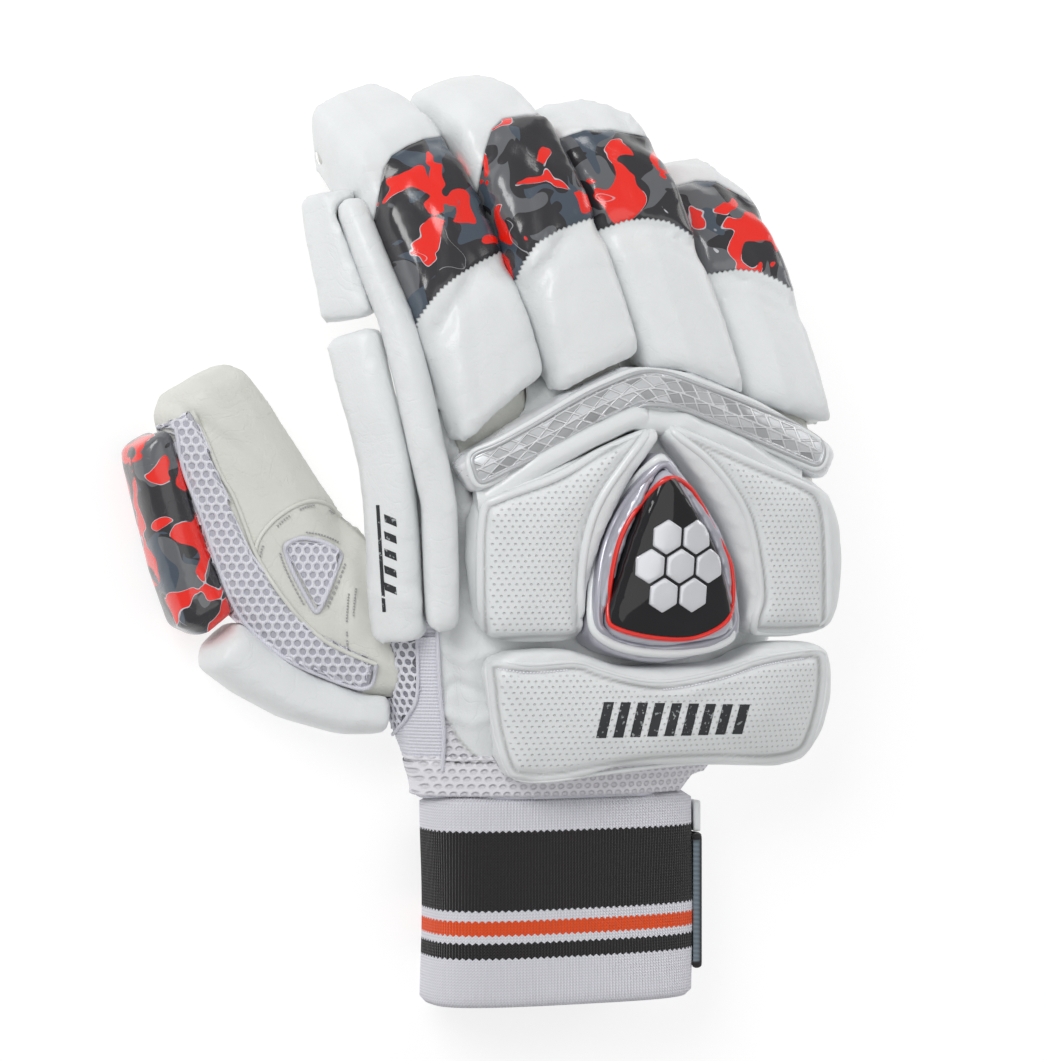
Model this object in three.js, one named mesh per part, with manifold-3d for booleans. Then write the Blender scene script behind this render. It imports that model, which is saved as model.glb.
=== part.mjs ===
// A padded cricket batting glove for the right hand, lying palm down on a flat surface.
// Millimetres: X runs from the thumb to the little finger, Y from the wrist to the fingertips, Z up.
import * as THREE from "three";
import Module from "manifold-3d";

const wasm = await Module();
wasm.setup();

// Walls, clearances and steps
const CLEARANCE = 0.35;
const LEATHER = 1.8;
const CUFF_WALL = 3;
const PANEL_THICKNESS = 1;
const STRAP_THICKNESS = 2.4;
const CUT_REACH = 4;

// Cuff
const CUFF_WIDTH = 92;
const CUFF_THICKNESS = 42;
const CUFF_LENGTH = 68;
const CUFF_TUCK = 8;
const CUFF_SHOULDER = 3;
const CUFF_END_ROUNDING = 0.8;
const STRAP_WIDTH = 44;
const STRAP_HEIGHT = 24;
const TAB_START = 4;
const TAB_WIDTH = 11;
const TAB_HEIGHT = 19;

// Fingers
const FINGER_WIDTH = 30.1;
const FINGER_GAP = 0.7;
const FINGER_LENGTH = 118;
const STALL_MARGIN = 2.6;
const STALL_HEIGHT = 22;
const FINGER_PAD_THICKNESS = 12.5;
const FINGER_SKIRT = 6;
const FINGER_HEADING = 20;
const STALL_TUCK = 9;
const KNUCKLE_BEND = 6;
const TIP_ROUNDING = 8;
const TIP_PAD_REACH = 5;

// Hand
const HAND_LENGTH = 137;
const HAND_HEIGHT = 67.5;
const BACK_CROWN = 11;
const HAND_PER_FINGER_ROW = 1.075;

// Pads of the back
const PAD_SINK = 2;
const PAD_EDGE_RADIUS = 4;
const BACK_PAD_THICKNESS = 11;
const WRIST_PAD_THICKNESS = 13;
const POD_THICKNESS = 15;
const POD_EDGE_RADIUS = 3;
const POD_RIM = 5.5;
const POD_RECESS = 4;
const DOME_RISE = 3.4;
const BAND_WIDTH = 13;
const BAND_THICKNESS = 11;
const BAND_SINK = 3;

// Side of the forefinger
const STRIP_WIDTH = 10;
const STRIP_THICKNESS = 15;
const BAR_WIDTH = 18;
const BAR_THICKNESS = 13;

// Thumb
const THUMB_LENGTH = 104;
const THUMB_WIDTH = 40;
const THUMB_HEIGHT = 30;
const THUMB_TUCK = 3;
const GUARD_THICKNESS = 14;
const GUARD_HEIGHT = 25;
const GUSSET_INNER = 0.5;

const { degToRad, lerp, clamp } = THREE.MathUtils;

// Each finger: width and bone lengths as shares, heading in degrees, place of its root along the hand
// and up, dips of its first two bones in degrees, and the slant of the four edges of its pads.
const FINGERS = [
  {
    name: "index",
    width: 1.13,
    bones: [0.41, 0.325, 0.305],
    heading: 19,
    back: 0,
    height: 0.785,
    dips: [4, 18],
    slants: [0.35, 0.4, 0.2, 0.1],
  },
  {
    name: "middle",
    width: 1.013,
    bones: [0.435, 0.285, 0.32],
    heading: 19,
    back: -0.001,
    height: 0.844,
    dips: [3, 18],
    slants: [0.1, 0.35, 0.3, 0.1],
  },
  {
    name: "ring",
    width: 1.03,
    bones: [0.505, 0.25, 0.275],
    heading: 19,
    back: 0.104,
    height: 0.815,
    dips: [3, 20],
    slants: [-0.6, -0.35, -0.45, -0.1],
  },
  {
    name: "little",
    width: 0.98,
    bones: [0.435, 0.22, 0.22],
    heading: 17,
    back: 0.253,
    height: 0.69,
    dips: [4, 20],
    slants: [-0.6, -0.5, -0.5, -0.1],
  },
];
const ROW_WIDTH =
  FINGERS.reduce((sum, finger) => sum + finger.width * FINGER_WIDTH, 0) + 3 * FINGER_GAP;
const HAND_WIDTH = ROW_WIDTH * HAND_PER_FINGER_ROW;
const WRIST_Y = -HAND_LENGTH * 0.613;
const KNUCKLE_Y = HAND_LENGTH * 0.204;
const CUFF_X = HAND_WIDTH * 0.249;

// Sections of the hand from the wrist rim to the finger roots: sides as shares of the hand's width,
// underside and top as shares of its height.
const HAND_SECTIONS = [
  { along: 0.19, left: -0.17, right: 0.72, bottom: 0.015, top: 0.77 },
  { along: 0.409, left: -0.243, right: 0.79, bottom: 0.06, top: 0.845 },
  { along: 0.65, left: -0.243, right: 0.835, bottom: 0.178, top: 0.92 },
  { along: 0.803, left: -0.213, right: 0.845, bottom: 0.326, top: 0.978 },
  { along: 0.89, left: -0.17, right: 0.8, bottom: 0.46, top: 1 },
  { along: 0.956, left: -0.03, right: 0.66, bottom: 0.563, top: 1 },
  { along: 1, left: 0.118, right: 0.456, bottom: 0.652, top: 0.948 },
];

// Stations of the thumb: run from its root as shares of the thumb's length, lift of its underside as
// a share of its height, and the section's sides.
const THUMB_STATIONS = [
  { x: 0, y: 0, lift: 0.2, width: 1.2, height: 1.05 },
  { x: -0.143, y: 0.005, lift: 0.13, width: 1.2, height: 1.03 },
  { x: -0.35, y: 0.15, lift: 0.06, width: 1.25, height: 1 },
  { x: -0.48, y: 0.388, lift: 0.02, width: 1.07, height: 0.97 },
  { x: -0.6, y: 0.64, lift: 0, width: 0.86, height: 0.94 },
  { x: -0.632, y: 0.7, lift: 0.02, width: 0.78, height: 0.86 },
];

// Rolls on the thumb's outer side: from and to as shares of its length from the root, and their
// thickness at each end.
const THUMB_GUARDS = [
  { from: 0.88, to: 0.42, fullFrom: 0.85, fullTo: 1.2 },
  { from: 0.405, to: 0.1, fullFrom: 1.2, fullTo: 0.8 },
];

// Outlines on the back of the hand: shares of the hand's width and length, and corner radius.
const THUMB_SIDE_PAD = [
  { across: 0.32, along: 0.868, corner: 3 },
  { across: -0.09, along: 0.7, corner: 5 },
  { across: -0.095, along: 0.55, corner: 20 },
  { across: -0.057, along: 0.37, corner: 8 },
  { across: 0.19, along: 0.362, corner: 8 },
  { across: 0.195, along: 0.5, corner: 20 },
  { across: 0.265, along: 0.73, corner: 20 },
  { across: 0.345, along: 0.855, corner: 2 },
];
const LITTLE_SIDE_PAD = [
  { across: 0.36, along: 0.875, corner: 3 },
  { across: 0.345, along: 0.85, corner: 2 },
  { across: 0.535, along: 0.62, corner: 25 },
  { across: 0.605, along: 0.45, corner: 15 },
  { across: 0.6, along: 0.375, corner: 7 },
  { across: 0.895, along: 0.378, corner: 9 },
  { across: 0.9, along: 0.56, corner: 20 },
  { across: 0.845, along: 0.725, corner: 12 },
];
const WRIST_PAD = [
  { across: -0.05, along: 0.345, corner: 7 },
  { across: 0.14, along: 0.36, corner: 12 },
  { across: 0.26, along: 0.31, corner: 15 },
  { across: 0.56, along: 0.315, corner: 15 },
  { across: 0.66, along: 0.36, corner: 12 },
  { across: 0.885, along: 0.358, corner: 9 },
  { across: 0.91, along: 0.22, corner: 20 },
  { across: 0.865, along: 0.05, corner: 12 },
  { across: 0.5, along: 0.07, corner: 40 },
  { across: 0.27, along: 0.07, corner: 25 },
  { across: 0.16, along: 0.035, corner: 15 },
  { across: 0.02, along: 0.035, corner: 12 },
];
const POD = [
  { across: 0.325, along: 0.822, corner: 6 },
  { across: 0.205, along: 0.6, corner: 45 },
  { across: 0.165, along: 0.36, corner: 9 },
  { across: 0.345, along: 0.305, corner: 40 },
  { across: 0.59, along: 0.355, corner: 9 },
  { across: 0.535, along: 0.6, corner: 45 },
];
const VENT = [
  { across: -0.48, along: 0.6, corner: 4 },
  { across: -0.33, along: 0.59, corner: 4 },
  { across: -0.385, along: 0.43, corner: 4 },
];
const SIDE_MESH = [
  { across: -0.3, along: 0.38, corner: 1 },
  { across: -0.13, along: 0.38, corner: 1 },
  { across: -0.07, along: 0.03, corner: 1 },
  { across: -0.3, along: 0.03, corner: 1 },
];

// Centre lines: across and up as shares of the hand, along as a share of the hand's length behind the
// knuckles and of the finger's length ahead of them.
const STRIP_LINE = [
  { across: -0.352, along: 0.644, up: 0.7 },
  { across: -0.33, along: 0.542, up: 0.76 },
  { across: -0.277, along: 0.381, up: 0.84 },
  { across: -0.234, along: 0.178, up: 0.89 },
  { across: -0.205, along: 0.017, up: 0.9 },
  { across: -0.165, along: -0.13, up: 0.88 },
  { across: -0.15, along: -0.29, up: 0.83 },
  { across: -0.14, along: -0.42, up: 0.78 },
];
const BAR_BASE_LINE = [
  { across: -0.337, along: 0.3, up: 0.69 },
  { across: -0.31, along: 0.127, up: 0.73 },
  { across: -0.275, along: -0.02, up: 0.74 },
  { across: -0.25, along: -0.2, up: 0.72 },
  { across: -0.226, along: -0.38, up: 0.66 },
  { across: -0.212, along: -0.445, up: 0.64 },
];
const BAR_TIP_LINE = [
  { across: -0.388, along: 0.67, up: 0.62 },
  { across: -0.378, along: 0.56, up: 0.65 },
  { across: -0.358, along: 0.43, up: 0.68 },
  { across: -0.345, along: 0.335, up: 0.69 },
];
const BAND_LINE = [
  { across: -0.115, along: 0.745 },
  { across: 0.07, along: 0.862 },
  { across: 0.262, along: 0.955 },
  { across: 0.33, along: 0.962 },
  { across: 0.54, along: 0.9 },
  { across: 0.81, along: 0.785 },
];

// A closed solid through rings of points, each end closed on its middle.
function loft(rings) {
  const around = rings[0].length;
  const points = rings.flat();
  const faces = [];
  for (let row = 0; row + 1 < rings.length; row++) {
    for (let i = 0; i < around; i++) {
      const a = row * around + i;
      const b = row * around + ((i + 1) % around);
      faces.push([a, b, b + around], [a, b + around, a + around]);
    }
  }
  for (const row of [0, rings.length - 1]) {
    const middle = new THREE.Vector3();
    rings[row].forEach((point) => middle.addScaledVector(point, 1 / around));
    const centre = points.push(middle) - 1;
    for (let i = 0; i < around; i++) {
      const a = row * around + i;
      const b = row * around + ((i + 1) % around);
      faces.push(row === 0 ? [centre, b, a] : [centre, a, b]);
    }
  }
  return closedSolid(points, faces);
}

function closedSolid(points, faces) {
  const make = (list) =>
    new wasm.Manifold(
      new wasm.Mesh({
        numProp: 3,
        vertProperties: new Float32Array(points.flatMap((point) => point.toArray())),
        triVerts: new Uint32Array(list.flat()),
      }),
    );
  const solid = make(faces);
  return solid.volume() > 0 ? solid : make(faces.map(([a, b, c]) => [a, c, b]));
}

function cut(solid, ...tools) {
  return tools.reduce((rest, tool) => rest.subtract(tool), solid);
}

// The main piece of a cut solid, without the crumbs that a cut leaves.
function largest(solid) {
  return solid.decompose().reduce((best, piece) => (piece.volume() > best.volume() ? piece : best));
}

// A rounded section: halfWidth to each side, from below to above its middle, with a crown on top.
function ovalRing(place, halfWidth, below, above, { points = 14, square = 0.7, crown = 0 } = {}) {
  const bend = (value) => Math.sign(value) * Math.abs(value) ** square;
  const angles = Array.from({ length: points }, (_, i) => ((i + 0.5) / points) * 2 * Math.PI);
  const widest = Math.max(...angles.map((angle) => bend(Math.cos(angle))));
  const tallest = Math.max(...angles.map((angle) => bend(Math.sin(angle))));
  return angles.map((angle) => {
    const side = bend(Math.cos(angle)) / widest;
    const rise = bend(Math.sin(angle)) / tallest;
    const height = rise > 0 ? above - crown * side * side : below;
    return place(side * halfWidth, rise * height);
  });
}

// A smooth closed outline whose corners are rounded by their own radius.
function roundedOutline(rows, grow = 0, steps = 2) {
  const corners = rows.map(
    ({ across, along }) =>
      new THREE.Vector2(across * HAND_WIDTH, WRIST_Y + along * HAND_LENGTH),
  );
  const outline = [];
  corners.forEach((corner, i) => {
    const before = corners[(i + corners.length - 1) % corners.length].clone().sub(corner);
    const after = corners[(i + 1) % corners.length].clone().sub(corner);
    const reach = Math.min(rows[i].corner, before.length() * 0.46, after.length() * 0.46);
    const start = corner.clone().addScaledVector(before.normalize(), reach);
    const end = corner.clone().addScaledVector(after.normalize(), reach);
    const curve = new THREE.QuadraticBezierCurve(start, corner, end);
    outline.push(...curve.getPoints(steps));
  });
  const middle = middleOf(outline);
  return outline.map((point) => {
    const away = point.clone().sub(middle);
    return point.clone().addScaledVector(away.normalize(), grow);
  });
}

function middleOf(outline) {
  const middle = new THREE.Vector2();
  outline.forEach((point) => middle.addScaledVector(point, 1 / outline.length));
  return middle;
}

// Hand

function handSections() {
  const rimGrow = CLEARANCE + LEATHER;
  const rim = {
    y: WRIST_Y,
    left: CUFF_X - CUFF_WIDTH / 2 - rimGrow * 0.4,
    right: CUFF_X + CUFF_WIDTH / 2 + rimGrow * 0.4,
    bottom: CLEARANCE,
    top: CUFF_THICKNESS + rimGrow * 0.6,
  };
  const rows = HAND_SECTIONS.map((row) => ({
    y: WRIST_Y + row.along * HAND_LENGTH,
    left: row.left * HAND_WIDTH,
    right: row.right * HAND_WIDTH,
    bottom: row.bottom * HAND_HEIGHT,
    top: row.top * HAND_HEIGHT,
  }));
  return [rim, ...rows];
}

const SECTIONS = handSections();

function sectionAt(y) {
  const next = SECTIONS.findIndex((row) => row.y > y);
  if (next === 0) return SECTIONS[0];
  if (next < 0) return SECTIONS[SECTIONS.length - 1];
  const [a, b] = [SECTIONS[next - 1], SECTIONS[next]];
  const t = (y - a.y) / (b.y - a.y);
  return {
    left: lerp(a.left, b.left, t),
    right: lerp(a.right, b.right, t),
    top: lerp(a.top, b.top, t),
  };
}

// Height of the back of the hand, which falls away to both sides.
function backHeight(x, y) {
  const { left, right, top } = sectionAt(y);
  const side = clamp((2 * x - left - right) / (right - left), -1.3, 1.3);
  return top - BACK_CROWN * side * side;
}

function handLoft(grow, wristReach) {
  const rings = SECTIONS.map((row, i) => {
    const middle = lerp(row.bottom, row.top, 0.45);
    const centre = (row.left + row.right) / 2;
    const y = i === 0 ? row.y - wristReach : row.y + (i === SECTIONS.length - 1 ? grow : 0);
    const place = (u, v) => new THREE.Vector3(centre + u, y, middle + v);
    return ovalRing(
      place,
      (row.right - row.left) / 2 + grow,
      middle - row.bottom + grow,
      row.top - middle + grow,
      { points: 20, square: 0.62, crown: BACK_CROWN },
    );
  });
  return loft(rings);
}

// Fingers

function fingerRoot(index) {
  const heading = degToRad(FINGER_HEADING);
  const widths = FINGERS.map((finger) => finger.width * FINGER_WIDTH);
  let across = 0;
  for (let i = 0; i < index; i++) across += (widths[i] + widths[i + 1]) / 2 + FINGER_GAP;
  const ahead = -FINGERS[index].back * HAND_LENGTH;
  return new THREE.Vector3(
    across * Math.cos(heading) - ahead * Math.sin(heading),
    KNUCKLE_Y + across * Math.sin(heading) + ahead * Math.cos(heading),
    FINGERS[index].height * HAND_HEIGHT,
  );
}

// Places along the finger near its tip, and the size of the stall there.
function stallEnd(reach) {
  return [
    [reach - TIP_ROUNDING * 0.3, 0.86],
    [reach + TIP_ROUNDING * 0.45, 0.7],
    [reach + TIP_ROUNDING * 0.9, 0.38],
  ];
}

// The finger's middle line dips twice at its joints and a third time so that its tip meets the table.
function fingerSpine(finger, index) {
  const root = fingerRoot(index);
  const lengths = finger.bones.map((share) => share * FINGER_LENGTH);
  const reach = lengths[0] + lengths[1] + lengths[2];
  const step = 1;
  const trace = (lastDip) => {
    const dips = [...finger.dips, lastDip].map(degToRad);
    const dipAt = (s) => {
      const first = clamp((s - lengths[0]) / (2 * KNUCKLE_BEND) + 0.5, 0, 1);
      const second = clamp((s - lengths[0] - lengths[1]) / (2 * KNUCKLE_BEND) + 0.5, 0, 1);
      return dips[0] + (dips[1] - dips[0]) * first + (dips[2] - dips[1]) * second;
    };
    const line = [{ ahead: 0, up: 0, dip: dips[0] }];
    for (let s = step; s <= reach + 2 * TIP_ROUNDING; s += step) {
      const last = line[line.length - 1];
      const dip = dipAt(s - step / 2);
      line.push({
        ahead: last.ahead + step * Math.cos(dip),
        up: last.up - step * Math.sin(dip),
        dip: dipAt(s),
      });
    }
    return line;
  };
  const lowest = (line) => {
    const under = stallEnd(reach).map(([s, size]) => {
      const at = line[Math.min(Math.round(s / step), line.length - 1)];
      return root.z + at.up - (STALL_HEIGHT / 2) * size * Math.cos(at.dip);
    });
    const padEnd = reach + TIP_PAD_REACH + Math.abs(finger.slants[3]) * FINGER_WIDTH * 0.5;
    const end = line[Math.round(padEnd / step)];
    return Math.min(root.z + end.up - FINGER_SKIRT * Math.cos(end.dip), ...under);
  };
  let [shallow, steep] = [0, 90];
  for (let turn = 0; turn < 24; turn++) {
    const dip = (shallow + steep) / 2;
    if (lowest(trace(dip)) > 0) shallow = dip;
    else steep = dip;
  }
  const line = trace(steep);
  const heading = degToRad(finger.heading);
  const place = (s, u, v) => {
    const at = clamp(s / step, 0, line.length - 1.001);
    const [a, b] = [line[Math.floor(at)], line[Math.floor(at) + 1]];
    const t = at - Math.floor(at);
    const dip = lerp(a.dip, b.dip, t);
    const before = Math.min(s, 0) * Math.cos(dip);
    const ahead = lerp(a.ahead, b.ahead, t) + v * Math.sin(dip) + before;
    const up = lerp(a.up, b.up, t) + v * Math.cos(dip);
    return new THREE.Vector3(
      root.x - ahead * Math.sin(heading) + u * Math.cos(heading),
      root.y + ahead * Math.cos(heading) + u * Math.sin(heading),
      root.z + up,
    );
  };
  return { place, reach, lengths };
}

function stallLoft(finger, spine, grow, rootReach) {
  const halfWidth = (finger.width * FINGER_WIDTH) / 2 - STALL_MARGIN + grow;
  const halfHeight = STALL_HEIGHT / 2 + grow;
  const [first, second] = spine.lengths;
  const stations = [
    [-STALL_TUCK - rootReach, 1],
    [first - KNUCKLE_BEND, 1],
    [first + KNUCKLE_BEND, 0.98],
    [first + second - KNUCKLE_BEND, 0.95],
    [first + second + KNUCKLE_BEND, 0.92],
    ...stallEnd(spine.reach).map(([s, size]) => [s + grow, size]),
  ];
  const rings = stations.map(([s, size]) =>
    ovalRing((u, v) => spine.place(s, u, v), halfWidth * size, halfHeight * size, halfHeight * size, {
      points: 10,
      square: 0.8,
    }),
  );
  return loft(rings);
}

// Half section of a finger pad: sideways as a share of half its width, up as a share of its rise.
const PAD_SECTION = [
  { side: 1, rise: -1 },
  { side: 1, rise: 0.45 },
  { side: 0.98, rise: 0.78 },
  { side: 0.84, rise: 0.97 },
  { side: 0.3, rise: 1 },
];
const PAD_LENGTHWISE = [
  { at: 0, rise: 0.84, tipWidth: 1, tipRise: 0.84 },
  { at: 0.12, rise: 0.97, tipWidth: 1, tipRise: 0.97 },
  { at: 0.5, rise: 1, tipWidth: 0.94, tipRise: 0.95 },
  { at: 0.88, rise: 0.97, tipWidth: 0.8, tipRise: 0.8 },
  { at: 1, rise: 0.84, tipWidth: 0.68, tipRise: 0.62 },
];
const PAD_NAMES = ["base_pad", "knuckle_pad", "tip_pad"];
const PAD_EDGES = [0.1, 0, 0, 0];
const EDGE_ARCH = [0.05, 0.27, 0.17, 0];

function padEdge(finger, spine, edge, u, halfWidth) {
  const [first, second] = spine.lengths;
  const joints = [0, first, first + second, spine.reach + TIP_PAD_REACH];
  const arch = EDGE_ARCH[edge] * halfWidth * (u / halfWidth) ** 2;
  return joints[edge] + PAD_EDGES[edge] * FINGER_LENGTH + finger.slants[edge] * u - arch;
}

function fingerPadLoft(finger, spine, pad, grow) {
  const halfWidth = (finger.width * FINGER_WIDTH) / 2;
  const rise = STALL_HEIGHT / 2 + FINGER_PAD_THICKNESS;
  const half = PAD_SECTION.map(({ side, rise: share }) => [
    side * (halfWidth + grow),
    share < 0 ? -FINGER_SKIRT - grow : share * (rise + grow),
  ]);
  const section = [...half, ...half.map(([u, v]) => [-u, v]).reverse()];
  const seam = FINGER_GAP / 2 - grow;
  const isTip = pad === PAD_NAMES.length - 1;
  const rings = PAD_LENGTHWISE.map(({ at, rise: full, tipWidth, tipRise }) =>
    section.map(([u, v]) => {
      const start = padEdge(finger, spine, pad, u, halfWidth) + seam;
      const end = padEdge(finger, spine, pad + 1, u, halfWidth) - seam;
      const height = isTip ? tipRise : full;
      return spine.place(lerp(start, end, at), isTip ? u * tipWidth : u, v > 0 ? v * height : v);
    }),
  );
  return loft(rings);
}

// Thumb

const THUMB_ROOT = new THREE.Vector3(-HAND_WIDTH * 0.155, WRIST_Y + HAND_LENGTH * 0.41, 0);
const thumbLine = new THREE.CatmullRomCurve3(
  THUMB_STATIONS.map(
    ({ x, y }) =>
      new THREE.Vector3(THUMB_ROOT.x + x * THUMB_LENGTH, THUMB_ROOT.y + y * THUMB_LENGTH, 0),
  ),
);

// Place in the thumb: t from 0 at its root to 1 at its tip, u to the hand's side, v up.
function thumbPlace(t, u, v, ahead = 0) {
  const inside = clamp(t, 0, 1);
  const along = thumbLine.getTangent(inside);
  const middle = thumbLine.getPoint(inside);
  const { lift, height } = thumbSize(inside);
  return new THREE.Vector3(
    middle.x + along.y * u + along.x * ahead,
    middle.y - along.x * u + along.y * ahead,
    (lift + height / 2) * THUMB_HEIGHT + v,
  );
}

function thumbSize(t) {
  const at = clamp(t, 0, 0.9999) * (THUMB_STATIONS.length - 1);
  const [a, b] = [THUMB_STATIONS[Math.floor(at)], THUMB_STATIONS[Math.floor(at) + 1]];
  const part = at - Math.floor(at);
  return {
    lift: lerp(a.lift, b.lift, part),
    width: lerp(a.width, b.width, part),
    height: lerp(a.height, b.height, part),
  };
}

function thumbLoft(grow, rootReach) {
  const steps = [0, 0.15, 0.3, 0.45, 0.6, 0.75, 0.9, 1];
  const rings = steps.map((t) => {
    const { width, height } = thumbSize(t);
    return ovalRing(
      (u, v) => thumbPlace(t, u, v),
      (width * THUMB_WIDTH) / 2 + grow,
      (height * THUMB_HEIGHT) / 2 + grow,
      (height * THUMB_HEIGHT) / 2 + grow,
      { points: 14, square: 0.72 },
    );
  });
  if (rootReach > 0) {
    const inward = thumbPlace(0, 0, 0, -rootReach).sub(thumbPlace(0, 0, 0));
    rings.unshift(rings[0].map((point) => point.clone().add(inward)));
  }
  const { width, height } = thumbSize(1);
  rings.push(
    ovalRing(
      (u, v) => thumbPlace(1, u, v, TIP_ROUNDING * 0.6 + grow),
      (width * THUMB_WIDTH * 0.72) / 2 + grow,
      (height * THUMB_HEIGHT * 0.66) / 2 + grow,
      (height * THUMB_HEIGHT * 0.66) / 2 + grow,
      { points: 14, square: 0.72 },
    ),
  );
  return loft(rings);
}

// A roll on the thumb's outer side, from one share of its length to another.
function guardLoft({ from, to, fullFrom, fullTo }, grow = 0) {
  const rings = [0, 0.06, 0.25, 0.5, 0.75, 0.94, 1].map((part) => {
    const t = lerp(from, to, part);
    const { width } = thumbSize(t);
    const round = part === 0 || part === 1 ? 0.72 : 1;
    const thickness = GUARD_THICKNESS * lerp(fullFrom, fullTo, part) * round + LEATHER;
    const middle = -(width * THUMB_WIDTH) / 2 + LEATHER - thickness / 2;
    const halfHeight = (GUARD_HEIGHT / 2) * round + grow;
    return ovalRing(
      (u, v) => thumbPlace(t, middle + u, v),
      thickness / 2 + grow,
      halfHeight,
      halfHeight,
      { points: 12, square: 0.62 },
    );
  });
  return loft(rings);
}

// Pieces on the back and side

// A pad that follows the back of the hand, with rounded upper edges.
function drapedPad(outline, floor, height, edge) {
  const middle = middleOf(outline);
  const ring = (inset, share, lift) =>
    outline.map((point) => {
      const away = point.clone().sub(middle);
      const length = away.length();
      const at = away.multiplyScalar((Math.max(length - inset, 0) / length) * share).add(middle);
      return new THREE.Vector3(at.x, at.y, backHeight(at.x, at.y) + lift);
    });
  return loft([
    ring(0, 0.5, floor),
    ring(0, 1, floor),
    ring(0, 1, height - edge),
    ring(edge * 0.3, 1, height - edge * 0.3),
    ring(edge, 1, height),
    ring(edge, 0.5, height),
  ]);
}

// A roll along a centre line, its thickness pointing along outward.
function rollLoft(line, outward, width, thickness, sink, grow = 0) {
  const curve = new THREE.CatmullRomCurve3(line);
  const steps = 7;
  const parts = Array.from({ length: steps + 1 }, (_, i) => i / steps);
  const stations = [0, 0.025, ...parts.slice(1, -1), 0.975, 1];
  const rings = stations.map((t, i) => {
    const end = i === 0 || i === stations.length - 1;
    const along = curve.getTangentAt(t);
    const side = new THREE.Vector3().crossVectors(along, outward).normalize();
    const up = new THREE.Vector3().crossVectors(side, along).normalize();
    const middle = curve.getPointAt(t).addScaledVector(up, (thickness - sink) / 2);
    const reach = end ? (i === 0 ? -grow : grow) : 0;
    const size = end ? 0.8 : 1;
    return ovalRing(
      (u, v) =>
        middle.clone().addScaledVector(side, u).addScaledVector(up, v).addScaledVector(along, reach),
      (width / 2) * size + grow,
      (thickness + sink) / 2 + grow,
      ((thickness + sink) / 2) * size + grow,
      { points: 10, square: 0.6 },
    );
  });
  return loft(rings);
}

function sideLine(rows) {
  return rows.map(({ across, along, up }) => {
    const length = along > 0 ? FINGER_LENGTH : HAND_LENGTH;
    return new THREE.Vector3(across * HAND_WIDTH, KNUCKLE_Y + along * length, up * HAND_HEIGHT);
  });
}

function bandLine() {
  return BAND_LINE.map(({ across, along }) => {
    const x = across * HAND_WIDTH;
    const y = WRIST_Y + along * HAND_LENGTH;
    return new THREE.Vector3(x, y, backHeight(x, y));
  });
}

// An upright prism over an outline, used to bound thin panels.
function prism(outline, low, high) {
  const ring = (z) => outline.map(({ x, y }) => new THREE.Vector3(x, y, z));
  return loft([ring(low), ring(high)]);
}

// Cuff

function cuffLoft(grow, reach) {
  const tuck = LEATHER + CLEARANCE * 1.5;
  const end = WRIST_Y - CUFF_LENGTH;
  const stations = [
    { y: WRIST_Y + CUFF_TUCK + reach, inset: tuck },
    { y: WRIST_Y - CLEARANCE, inset: tuck },
    { y: WRIST_Y - CUFF_SHOULDER, inset: 0 },
    { y: end + 2 * CUFF_END_ROUNDING, inset: 0 },
    { y: end - reach, inset: grow < 0 ? 0 : CUFF_END_ROUNDING },
  ];
  const rings = stations.map(({ y, inset }) => {
    const size = grow - inset;
    const height = CUFF_THICKNESS / 2;
    return ovalRing(
      (u, v) => new THREE.Vector3(CUFF_X + u, y, height + v),
      CUFF_WIDTH / 2 + size,
      height + size,
      height + size,
      { points: 20, square: 0.66 },
    );
  });
  return loft(rings);
}

function cuffSidePiece(top, length, height) {
  const shell = cut(
    cuffLoft(CLEARANCE + STRAP_THICKNESS, 0),
    cuffLoft(CLEARANCE, CUT_REACH),
  );
  const right = CUFF_X + CUFF_WIDTH / 2;
  const outline = [
    [right - CUFF_WIDTH * 0.2, top],
    [right - CUFF_WIDTH * 0.2, top - length],
    [right + 3 * STRAP_THICKNESS, top - length],
    [right + 3 * STRAP_THICKNESS, top],
  ].map(([x, y]) => new THREE.Vector2(x, y));
  const middle = CUFF_THICKNESS / 2;
  return largest(shell.intersect(prism(outline, middle - height / 2, middle + height / 2)));
}

// Build of every piece

const materials = {
  leather: { color: 0xe9eae6, roughness: 0.55 },
  cream: { color: 0xdcdcd3, roughness: 0.6 },
  camouflage: { color: 0x55565b, roughness: 0.25 },
  silver: { color: 0xc5c8ca, roughness: 0.35, metalness: 0.4 },
  dome: { color: 0x17181a, roughness: 0.12 },
  knit: { color: 0xeeedf0, roughness: 0.95 },
  mesh: { color: 0xe4e4e8, roughness: 0.9 },
  strap: { color: 0x6f7d86, roughness: 0.8 },
};
for (const [name, look] of Object.entries(materials)) {
  materials[name] = new THREE.MeshStandardMaterial(look);
}

const glove = new THREE.Group();

function addPiece(name, solid, material) {
  const { vertProperties, triVerts } = solid.getMesh();
  const geometry = new THREE.BufferGeometry();
  geometry.setAttribute("position", new THREE.BufferAttribute(new Float32Array(vertProperties), 3));
  geometry.setIndex(new THREE.BufferAttribute(new Uint32Array(triVerts), 1));
  geometry.computeVertexNormals();
  const mesh = new THREE.Mesh(geometry, material);
  mesh.name = name;
  glove.add(mesh);
}

const handOuter = handLoft(CLEARANCE, 0);
const thumbOuter = thumbLoft(CLEARANCE, 0);
const spines = FINGERS.map(fingerSpine);

// The pocket is a leather shell, open at the wrist, with a hole for each stall.
const stallCutters = FINGERS.map((finger, i) => stallLoft(finger, spines[i], CLEARANCE, CUT_REACH));
const pocket = cut(
  handLoft(0, 0),
  handLoft(-LEATHER, CUT_REACH),
  ...stallCutters,
  thumbLoft(CLEARANCE, CUT_REACH),
  cuffLoft(CLEARANCE, CLEARANCE),
);
addPiece("hand_pocket", largest(pocket), materials.cream);

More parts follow.
